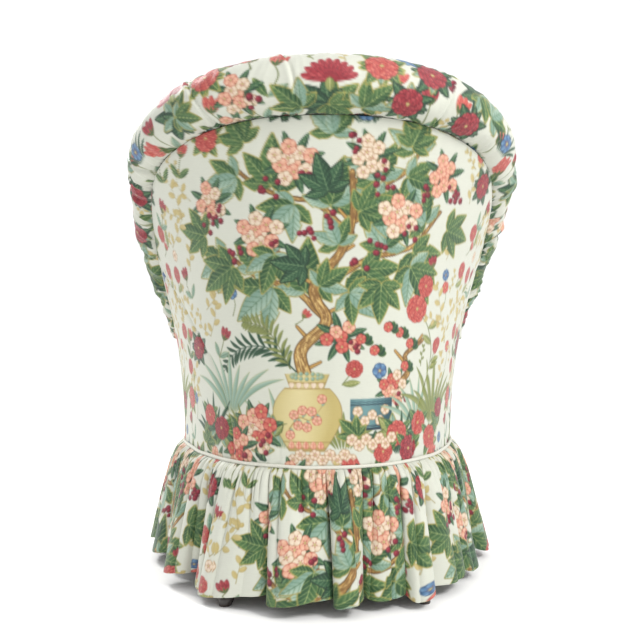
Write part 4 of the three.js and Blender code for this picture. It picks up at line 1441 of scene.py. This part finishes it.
@dataclass
class InsideBack:
    """The buttoned pad round the inside of the tub."""

    chintz: ChintzPrint
    columns: int = 470
    rows: int = 176
    hidden_rows: int = 7
    tuck_rows: int = 22
    foot_z: float = 0.312
    depth: float = 0.022
    puff: float = 0.008
    inner_share: float = 0.79
    step: float = 7.8 * DEGREE
    upper_z: float = 0.690
    lower_z: float = 0.570
    upper: tuple[float, ...] = (-5.8, -1.9, 1.9, 5.8)
    lower: tuple[float, ...] = (-3.9, 0.0, 3.9)

    def tufts(self) -> list[tuple[float, float]]:
        """Angle and height of each button."""
        rows = ((self.upper, self.upper_z), (self.lower, self.lower_z))
        return [(place * self.step, z) for places, z in rows for place in places]

    def relief(self, phi: Array, z: Array) -> Array:
        """How far the pad stands towards the sitter."""
        scale = 0.21
        reach = np.full(phi.shape, 1.0)
        for tuft, height in self.tufts():
            away = np.hypot((phi - tuft) * scale, z - height)
            reach = np.minimum(reach, away)
        pad = self.puff * (1 - np.exp(-((reach / 0.026) ** 2)))
        for a, za, b, zb in self.creases():
            dx, dz = (b - a) * scale, zb - za
            length = math.hypot(dx, dz)
            along = np.clip(((phi - a) * scale * dx + (z - za) * dz) / length**2, 0, 1)
            away = np.hypot((phi - a) * scale - along * dx, z - za - along * dz)
            pad -= 0.0042 * np.exp(-((away / 0.0052) ** 2)) * (1 - 0.35 * np.sin(np.pi * along))
        fade = np.clip((TUB.arm_end - np.abs(phi)) / (4 * DEGREE), 0, 1)
        return pad * fade**0.5

    def creases(self) -> list[tuple[float, float, float, float]]:
        """Folds from button to button, and from the buttons to the roll and the seat."""
        lines = []
        for top in self.upper:
            lines.append((top * self.step, self.upper_z, top * 1.03 * self.step, 0.86))
            for low in self.lower:
                if abs(top - low) < 2.5:
                    lines.append((top * self.step, self.upper_z, low * self.step, self.lower_z))
        for low in self.lower:
            lines.append((low * self.step, self.lower_z, low * 0.97 * self.step, 0.36))
        for side in (-1, 1):
            outer = side * self.upper[-1] * self.step
            lines.append((outer, self.upper_z, side * 7.9 * self.step, self.lower_z - 0.03))
        return lines

    def build(self) -> None:
        """Makes the pad and its buttons."""
        face = self.rows - 2 * self.hidden_rows - self.tuck_rows
        phi, height = np.meshgrid(
            np.linspace(-TUB.arm_end, TUB.arm_end, self.columns), np.linspace(0, 1, face)
        )
        top = TUB.edge_z(phi)
        z = mix(self.foot_z, top, height)
        inset = TUB.inner_inset(phi, z)
        wrinkle = 0.0007 * Noise(31)(phi * 9, z / 0.02)
        front = TUB.point(phi, z, inset + self.relief(phi, z) + wrinkle)
        tucked = self.tucked_edge(phi[0], front[-1])
        back_height = np.linspace(1, 0, 2 * self.hidden_rows)[:, None]
        back_phi = np.repeat(phi[:1], 2 * self.hidden_rows, axis=0)
        back_z = mix(self.foot_z, top[0], back_height)
        back = TUB.point(back_phi, back_z, TUB.inner_inset(back_phi, back_z) - self.depth)
        points = np.concatenate([front, tucked, back, front[:1]])
        height_there = np.concatenate([z, np.repeat(z[-1:], len(points) - face, axis=0)])
        flat_x = self.inner_share * TUB.girth(np.repeat(phi[:1], len(points), axis=0), height_there)
        flat_y = run_length(points, 0) + 0.02
        piece = ClothGrid("inside_back_pad", points, flat_x, flat_y).build(self.chintz, close_ends=True)
        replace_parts(piece, "inside_back_cover", "back_stuffing")
        for number, (tuft, z_tuft) in enumerate(self.tufts(), start=1):
            self.button(number, tuft, z_tuft)

    def tucked_edge(self, phi: Array, start: Array) -> Array:
        """Rows that carry the top of the pad up and under the roll."""
        _, out, up = TUB.edge_frame(phi)
        radius = TUB.roll_radius(phi)[:, None]
        edge = TUB.point(phi, TUB.edge_z(phi))
        share = np.linspace(0, 1, self.tuck_rows + 1)[1:]
        path = smooth_path([(-1.32, 0.0), (-1.36, 0.28), (-1.22, 0.56), (-0.92, 0.72)], 64)
        rows = []
        for s in share:
            x, y = (np.interp(s, np.linspace(0, 1, len(path)), path[:, k]) for k in (0, 1))
            there = edge + x * radius * out + y * radius * up
            settle = math.exp(-s / 0.2)
            rows.append(there + settle * (start - edge + 1.32 * radius * out))
        return np.stack(rows)

    def button(self, number: int, phi: float, z: float) -> None:
        """A button covered in the print, sunk into the pad."""
        radius, thickness = 0.0108, 0.0085

        def on_pad(angle: float, height: float) -> Array:
            """A point of the pad before it is puffed."""
            angle, height = np.array(angle), np.array(height)
            return TUB.point(angle, height, TUB.inner_inset(angle, height))

        centre = on_pad(phi, z)
        above = unit(on_pad(phi, z + 0.005) - centre)
        beside = unit(on_pad(phi + 0.02, z) - centre)
        facing = unit(np.cross(beside, above))
        turn, ring = np.meshgrid(np.linspace(0, 2 * math.pi, 49), np.linspace(0, 1, 25))
        rim, rim_rise = 0.62, 0.35
        dome, under = np.clip(ring / rim, 0, 1) * math.pi / 2, (ring - rim) / (1 - rim)
        reach = np.where(ring < rim, np.sin(dome), np.cos(under * math.pi / 2))
        over = rim_rise + (1 - rim_rise) * np.cos(dome)
        rise = np.where(ring < rim, over, rim_rise * (1 - under))
        ruck = 1 + 0.03 * np.cos(14 * turn) * (ring > 0.5) * (ring < 0.95)
        x, y = np.cos(turn) * reach * radius * ruck, np.sin(turn) * reach * radius * ruck
        points = centre + facing * (rise * thickness + 0.002)[..., None]
        points = points + beside * x[..., None] + above * y[..., None]
        grid = ClothGrid(f"covered_button_{number}", points, x + phi * 0.2, y + z - 0.2)
        piece = grid.build(self.chintz)
        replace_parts(piece, f"back_button_{number}")


@dataclass
class SeatPad:
    """The sprung seat: a crowned top that turns down to the seam between the arms."""

    chintz: ChintzPrint
    cells: int = 312
    crown_z: float = 0.4275
    fall: float = 0.024
    shoulder: float = 0.66
    border_top: float = 0.388
    back_gap: float = 0.003
    wing: tuple[float, float] = (117.0 * DEGREE, 118.2 * DEGREE)
    foot_z: float = 0.2385
    hidden_foot_z: float = 0.304
    welt: float = 0.27
    border_print: float = 0.80

    def rim(self, phi: Array, z: Array) -> Array:
        """Edge of the seat: inside the tub behind, and out to the outline in front."""
        forward = np.clip((np.abs(phi) - self.wing[0]) / (self.wing[1] - self.wing[0]), 0, 1)
        inner = TUB.point(phi, z, TUB.inner_inset(phi, z) + self.back_gap)
        outer = TUB.point(phi, np.full(z.shape, TUB.seam_z), np.full(z.shape, 0.001))
        place = mix(inner, outer, (forward**0.6)[..., None])
        return np.concatenate([place[..., :2], z[..., None]], axis=-1)

    def build(self) -> None:
        """Makes the seat."""
        x, y, reach, phi = disc_grid(self.cells)
        forward = np.clip((np.abs(phi) - self.wing[0]) / (self.wing[1] - self.wing[0]), 0, 1)
        foot = mix(self.hidden_foot_z, self.foot_z, forward)
        top = np.clip(reach / self.shoulder, 0, 1)
        side = np.clip((reach - self.shoulder) / (1 - self.shoulder), 0, 1)
        corner = np.clip(side / 0.3, 0, 1) * math.pi / 2
        share = 0.90 * top + 0.10 * np.sin(corner)
        top_z = self.crown_z - self.fall * top**2.4
        corner_z = top_z - (self.crown_z - self.fall - self.border_top) * (1 - np.cos(corner))
        z = mix(corner_z, foot, np.clip((side - 0.3) / 0.7, 0, 1))
        welt = 0.0032 * np.exp(-(((side - self.welt) / 0.028) ** 2))
        ruck = 0.0012 * Noise(41)(phi * 30, side * 3) * (side > 0.02)
        ruck = ruck * np.exp(-np.abs(side - 0.3) / 0.25)
        rim = self.rim(phi, np.maximum(z, 0.3))
        axis = np.array([0.0, TUB.plan_shift - 0.03])
        plane = axis + (rim[..., :2] - axis) * share[..., None]
        outward = unit(rim[..., :2] - axis) * (welt + ruck)[..., None]
        sit = 0.004 * Noise(42)(x * 3.1, y * 3.1) * (1 - side)
        points = np.concatenate([plane + outward, (z + welt + sit)[..., None]], axis=-1)
        middle = self.cells // 2
        section = np.stack([share * 0.26, z], axis=-1)[middle:, middle]
        ring_line = reach[middle:, middle], run_length(section[:, None], 0)[:, 0]
        ring = np.interp(reach, *ring_line)
        border = side > self.welt
        seam = np.interp(self.shoulder + self.welt * (1 - self.shoulder), *ring_line)
        from_front = np.where(phi > 0, phi - math.pi, phi + math.pi)
        flat_x = np.where(border, -0.30 * from_front, np.sin(phi) * ring)
        flat_y = np.where(border, self.border_print + seam - ring, np.cos(phi) * ring + 0.30)
        grid = ClothGrid("seat_pad", points, flat_x, flat_y, centre=(0, -0.05, 0.30))
        piece = grid.build(self.chintz)
        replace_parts(piece, "seat_cover", "seat_stuffing")


# ---------------------------------------------------------------- skirt and piping


class FoldLine:
    """Folds of uneven width that close into a ring; a coarser line keeps some of a finer one's valleys."""

    def __init__(self, valleys: Array, seed: int) -> None:
        """Takes the places of the valleys along the ring, and draws each fold's strength and lean."""
        rng = np.random.default_rng(seed)
        self.valleys = valleys
        self.strength = rng.uniform(0.45, 1.0, len(valleys) - 1)
        self.ridge = rng.uniform(0.22, 0.78, len(valleys) - 1)

    @classmethod
    def gathers(cls, length: float, narrow: float, broad: float, seed: int) -> "FoldLine":
        """A line of small folds round a ring of a given length."""
        rng = np.random.default_rng(seed)
        widths = rng.uniform(narrow, broad, int(length / ((narrow + broad) / 2)))
        return cls(np.concatenate([[0], np.cumsum(widths)]) * length / widths.sum(), seed + 1)

    def merged(self, fewest: int, most: int, seed: int) -> "FoldLine":
        """A coarser line, whose folds each take in several of these."""
        rng = np.random.default_rng(seed)
        kept, last = [0], len(self.valleys) - 1
        while kept[-1] < last:
            kept.append(min(last, kept[-1] + int(rng.integers(fewest, most + 1))))
        if kept[-1] - kept[-2] < fewest:
            kept.pop(-2)
        return FoldLine(self.valleys[kept], seed + 1)

    def __call__(self, run: Array, roundness: float = 0.8) -> tuple[Array, Array]:
        """Height of the folds, from 0 to 1, and their sideways swing, from -1 to 1."""
        phase = np.interp(run % self.valleys[-1], self.valleys, np.arange(len(self.valleys)))
        which = np.minimum(phase.astype(int), len(self.strength) - 1)
        share, ridge = phase - which, self.ridge[which]
        rising = 0.5 * share / ridge
        falling = 0.5 + 0.5 * (share - ridge) / (1 - ridge)
        turn = np.clip(np.where(share < ridge, rising, falling), 0, 1)
        height = np.sin(np.pi * turn) ** roundness
        return height * self.strength[which], np.sin(2 * np.pi * turn) * self.strength[which]


@dataclass
class GatheredSkirt:
    """Four panels of skirt, finely gathered under the piping and hanging in deep folds."""

    chintz: ChintzPrint
    columns: int = 720
    rows: int = 128
    top_z: float = 0.2385
    hem_z: float = 0.010
    start: float = 0.003
    flare: float = 0.050
    corner: float = 46.8 * DEGREE
    front: float = 132.6 * DEGREE
    fold_depth: float = 0.070
    cloth_foot: float = 0.31
    fullness: float = 1.9

    def __post_init__(self) -> None:
        """Measures the seam, and sets out the folds along it."""
        self.angles = np.linspace(-math.pi, math.pi, 2401)
        seam = TUB.point(self.angles, np.array(self.top_z), -self.start)
        self.along = run_length(seam[None], 1, len(seam) // 2)[0]
        self.girth = float(self.along[-1] - self.along[0])
        self.fine = FoldLine.gathers(self.girth, 0.007, 0.013, 53)
        self.middle = self.fine.merged(2, 4, 52)
        self.big = self.middle.merged(2, 4, 51)

    def panel(self, name: str, node: str, low: float, high: float) -> None:
        """One panel between two angles round the plan.

        Args:
            name: Name of the piece.
            node: The frame's node that it stands for.
            low: Angle where it starts.
            high: Angle where it ends; past pi for the front panel.
        """
        wrap = 2 * math.pi
        ends = [np.interp(a - wrap * (a > math.pi), self.angles, self.along) for a in (low, high)]
        ends[1] += self.girth if high > math.pi else 0
        run, drop = np.meshgrid(np.linspace(*ends, self.columns), np.linspace(0, 1, self.rows))
        around = run / self.girth * 2 * math.pi
        lean = 0.014 * np.sin(around * 5 + 1.0) * drop**1.3 + 0.008 * np.sin(around * 17 + 2.0) * drop
        big, swing = self.big(run + lean, 0.72)
        middle, middle_swing = self.middle(run + lean, 0.9)
        fine, fine_swing = self.fine(run + 0.4 * lean, 1.0)
        at_big = self.fold_depth * drop**0.9
        at_middle = 0.013 * np.clip(drop / 0.22, 0, 1) ** 0.8 * (1 - 0.40 * drop)
        at_fine = 0.0068 * np.exp(-((drop / 0.24) ** 2)) * np.clip(drop / 0.03, 0.35, 1)
        shift = 0.20 * at_big * swing + 0.30 * at_middle * middle_swing + 0.2 * at_fine * fine_swing
        spread = run - shift
        position = (spread - self.along[0]) % self.girth + self.along[0]
        phi = np.interp(position, self.along, self.angles)
        puff = 0.009 * (1 - np.exp(-drop / 0.05))
        away = self.start + self.flare * drop**0.66 + puff
        away += at_big * (big - 0.56) + at_middle * (middle - 0.5) + at_fine * (fine - 0.4)
        ripple = np.sin(around * 7 + 0.6) * 0.003 + 0.006 * swing
        hem = self.hem_z + 0.006 + ripple + 0.018 * (1 - big)
        z = mix(self.top_z, hem, drop)
        points = TUB.point(phi, np.minimum(z, TUB.seam_z), -away)
        points[..., 2] = z
        cloth = run_length(points, 1).mean(axis=0)
        begin = -cloth[-1] / 2 if low == -high else self.fullness * ends[0]
        flat_x = np.broadcast_to(-(begin + cloth), z.shape)
        flat_y = self.cloth_foot + run_length(points, 0).mean(axis=1)[::-1][:, None] + 0 * z
        centre = tuple(TUB.point(np.array((low + high) / 2), np.array(0.15), 0.3))
        piece = ClothGrid(name, points, flat_x, flat_y, centre=centre).build(self.chintz)
        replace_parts(piece, node)

    def build(self) -> None:
        """Makes the four panels."""
        c, f = self.corner, self.front
        self.panel("gathered_skirt_back", "skirt_back", -c, c)
        self.panel("gathered_skirt_left", "skirt_side_left", c, f)
        self.panel("gathered_skirt_right", "skirt_side_right", -f, -c)
        self.panel("gathered_skirt_front", "skirt_front", f, 2 * math.pi - f)


@dataclass
class PipedSeam:
    """A covered cord round the foot of the tub, over the top of the skirt."""

    radius: float = 0.0032
    inset: float = -0.0042
    z: float = 0.2405
    columns: int = 1100
    rows: int = 13

    def build(self) -> None:
        """Makes the cord."""
        phi, angle = np.meshgrid(
            np.linspace(-math.pi, math.pi, self.columns), np.linspace(0, 2 * math.pi, self.rows)
        )
        along = phi / math.pi * 0.82
        pucker = 1 + 0.09 * Noise(61)(along / 0.005 + angle * 0.4, angle * 0.5)
        wander = 0.0006 * Noise(62)(along / 0.05)
        radius = self.radius * pucker
        points = TUB.point(phi, np.full(phi.shape, self.z), self.inset + radius * np.cos(angle))
        points[..., 2] = self.z + radius * np.sin(angle) + wander
        points[:, -1] = points[:, 0]
        points[-1] = points[0]
        grid = ClothGrid("piped_seam", points, along, angle * self.radius, finish=Wardrobe.PIPING)
        piece = grid.build(None)
        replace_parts(piece, "skirt_piping")


# ---------------------------------------------------------------- legs, lining and framework


@dataclass
class TurnedLegs:
    """Four short ebonised legs, turned with a ring foot and a collar, and set at a splay."""

    steps: int = 40
    top_radius: float = 0.020
    profile: tuple[tuple[float, float], ...] = (
        (0.0, 0.0), (0.0100, 0.0), (0.0112, 0.002), (0.0120, 0.005), (0.0140, 0.011), (0.0137, 0.015),
        (0.0117, 0.0185), (0.0117, 0.020), (0.0130, 0.026), (0.0144, 0.055), (0.0160, 0.090),
        (0.0180, 0.150),
        (0.0195, 0.165), (0.0210, 0.172), (0.0208, 0.177), (0.0186, 0.184), (0.0190, 0.200),
        (0.0200, 0.2314),
        (0.0, 0.2314),
    )

    def leg(self, node: str, foot: tuple[float, float]) -> None:
        """One leg.

        Args:
            node: The frame's leg that it stands for.
            foot: Where its foot stands.
        """
        low, high = (np.array(corner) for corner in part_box(node))
        sign = np.array([np.sign(low[0]), np.sign(foot[1])])
        near = np.where(sign > 0, low[:2], high[:2])
        top = near + sign * self.top_radius
        bm = bmesh.new()
        vertices = [bm.verts.new((radius, 0, z)) for radius, z in self.profile]
        edges = [bm.edges.new(pair) for pair in zip(vertices, vertices[1:])]
        bmesh.ops.spin(
            bm, geom=vertices + edges, cent=(0, 0, 0), axis=(0, 0, 1), dvec=(0, 0, 0),
            angle=2 * math.pi, steps=self.steps, use_merge=True,
        )
        bmesh.ops.remove_doubles(bm, verts=bm.verts, dist=1e-6)
        height = self.profile[-1][1]
        for vertex in bm.verts:
            share = vertex.co.z / height
            vertex.co.x += float(mix(foot[0], top[0], share))
            vertex.co.y += float(mix(foot[1], top[1], share))
        bmesh.ops.recalc_face_normals(bm, faces=bm.faces)
        if bm.calc_volume(signed=True) < 0:
            bmesh.ops.reverse_faces(bm, faces=bm.faces)
        mesh = bpy.data.meshes.new(f"turned_{node}")
        bm.to_mesh(mesh)
        bm.free()
        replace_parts(add_piece(mesh, Wardrobe.EBONISED), node)

    def build(self) -> None:
        """Makes the four legs, on the places of the record's mounts."""
        for mount in frame["record"]["mounts"]:
            x, y, _ = mount["pos_m"]
            end = "front" if y < 0 else "rear"
            side = "left" if x > 0 else "right"
            self.leg(f"{end}_leg_{side}", (x, y))


@dataclass
class BottomLining:
    """The black cloth tacked under the seat."""

    cells: int = 90
    z: float = 0.2247
    inset: float = 0.052
    sag: float = 0.0012

    def build(self) -> None:
        """Makes the lining."""
        _, _, reach, phi = disc_grid(self.cells)
        rim = TUB.point(phi, np.full(phi.shape, 0.2), self.inset)[..., :2]
        axis = np.array([0.0, TUB.plan_shift])
        plane = axis + (rim - axis) * reach[..., None]
        pull = 0.0005 * np.cos(phi * 34) * reach**6
        z = self.z - self.sag * (1 - reach**2) + pull
        points = np.concatenate([plane, z[..., None]], axis=-1)
        flat_x, flat_y = plane[..., 0], plane[..., 1]
        grid = ClothGrid(
            "bottom_lining", points, flat_x, flat_y, finish=Wardrobe.LINING, centre=(0, 0, 0.5),
        )
        piece = grid.build(None)
        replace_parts(piece, "dust_cover")
        declare_stretched(piece, flat_x, flat_y)


class Framework:
    """The timber, webbing, springs and hessian inside, which keep the frame's own meshes."""

    WORDS = (
        ("strap", Wardrobe.JUTE), ("spring", Wardrobe.STEEL), ("hessian", Wardrobe.HESSIAN),
        ("rail", Wardrobe.BEECH), ("block", Wardrobe.BEECH), ("post", Wardrobe.BEECH),
        ("stump", Wardrobe.BEECH),
    )

    def build(self) -> None:
        """Gives each of the frame's own nodes its finish."""
        for name, node in frame["nodes"].items():
            for word, finish in self.WORDS:
                if word in name:
                    node.data.materials.clear()
                    node.data.materials.append(WARDROBE.material(finish))
                    break


# ---------------------------------------------------------------- studio


@dataclass
class Studio:
    """A pale floor, soft lights, and a camera behind the chair at the height of its seat back."""

    eye: tuple[float, float, float] = (0.0738, 1.877, 0.536)
    aim: tuple[float, float, float] = (0.0, -0.019, 0.485)
    lens: float = 55.07
    floor_tone: tuple[float, float, float] = (0.93, 0.93, 0.925)
    horizon: float = 0.79
    overhead: float = 0.83
    exposure: float = 0.42

    def light(self, name: str, place: tuple, size: float, power: float, tint: tuple) -> None:
        """One soft square light aimed at the middle of the chair."""
        data = bpy.data.lights.new(name, "AREA")
        data.size, data.energy, data.color = size, power, tint
        lamp = bpy.data.objects.new(name, data)
        lamp.location = place
        lamp.rotation_euler = (Vector((0, 0, 0.45)) - Vector(place)).to_track_quat("-Z", "Y").to_euler()
        bpy.context.scene.collection.objects.link(lamp)

    def sky(self, tree: bpy.types.NodeTree) -> None:
        """A white backdrop, as bright at the horizon as the floor is far away."""
        where = tree.nodes.new("ShaderNodeTexCoord").outputs["Generated"]
        height = new_node(tree, "ShaderNodeSeparateXYZ", Vector=where).outputs["Z"]
        ramp = new_node(tree, "ShaderNodeMapRange", Value=height)
        feed(tree, ramp, From_Min=0.2, From_Max=0.6, To_Min=self.horizon, To_Max=self.overhead)
        feed(tree, tree.nodes["Background"], Strength=ramp.outputs[0], Color=(1.0, 1.0, 1.0, 1.0))

    def build(self) -> None:
        """Sets up the camera, the lights and the floor."""
        scene = bpy.context.scene
        data = bpy.data.cameras.new("camera")
        data.lens, data.sensor_width = self.lens, 36.0
        camera = bpy.data.objects.new("camera", data)
        camera.location = self.eye
        direction = Vector(self.aim) - Vector(self.eye)
        camera.rotation_euler = direction.to_track_quat("-Z", "Y").to_euler()
        scene.collection.objects.link(camera)
        scene.camera = camera
        world = bpy.data.worlds.new("studio")
        world.use_nodes = True
        self.sky(world.node_tree)
        scene.world = world
        self.light("key", (-1.7, 1.9, 2.3), 0.8, 48.0, (1.0, 0.99, 0.97))
        self.light("front_key", (1.7, -1.9, 2.3), 0.8, 48.0, (1.0, 0.99, 0.97))
        scene.view_settings.view_transform = "Standard"
        scene.view_settings.exposure = self.exposure
        bm = bmesh.new()
        bmesh.ops.create_grid(bm, x_segments=2, y_segments=2, size=30)
        mesh = bpy.data.meshes.new("floor")
        bm.to_mesh(mesh)
        bm.free()
        material = bpy.data.materials.new("floor_paint")
        material.use_nodes = True
        shader = material.node_tree.nodes["Principled BSDF"]
        shader.inputs["Base Color"].default_value = (*self.floor_tone, 1.0)
        shader.inputs["Roughness"].default_value = 0.9
        mesh.materials.append(material)
        floor = bpy.data.objects.new("floor", mesh)
        scene.collection.objects.link(floor)


def main() -> None:
    """Makes the studio and every piece of the chair."""
    logging.basicConfig(level=logging.INFO, format="%(name)s: %(message)s")
    Studio().build()
    chintz = ChintzPrint()
    for assembly in (
        Framework(), TurnedLegs(), BottomLining(), OutsideCovers(chintz), RolledEdge(chintz),
        InsideBack(chintz), SeatPad(chintz), PipedSeam(), GatheredSkirt(chintz),
    ):
        assembly.build()
        LOG.info("%s is done", type(assembly).__name__)


if __name__ == "__main__":
    main()
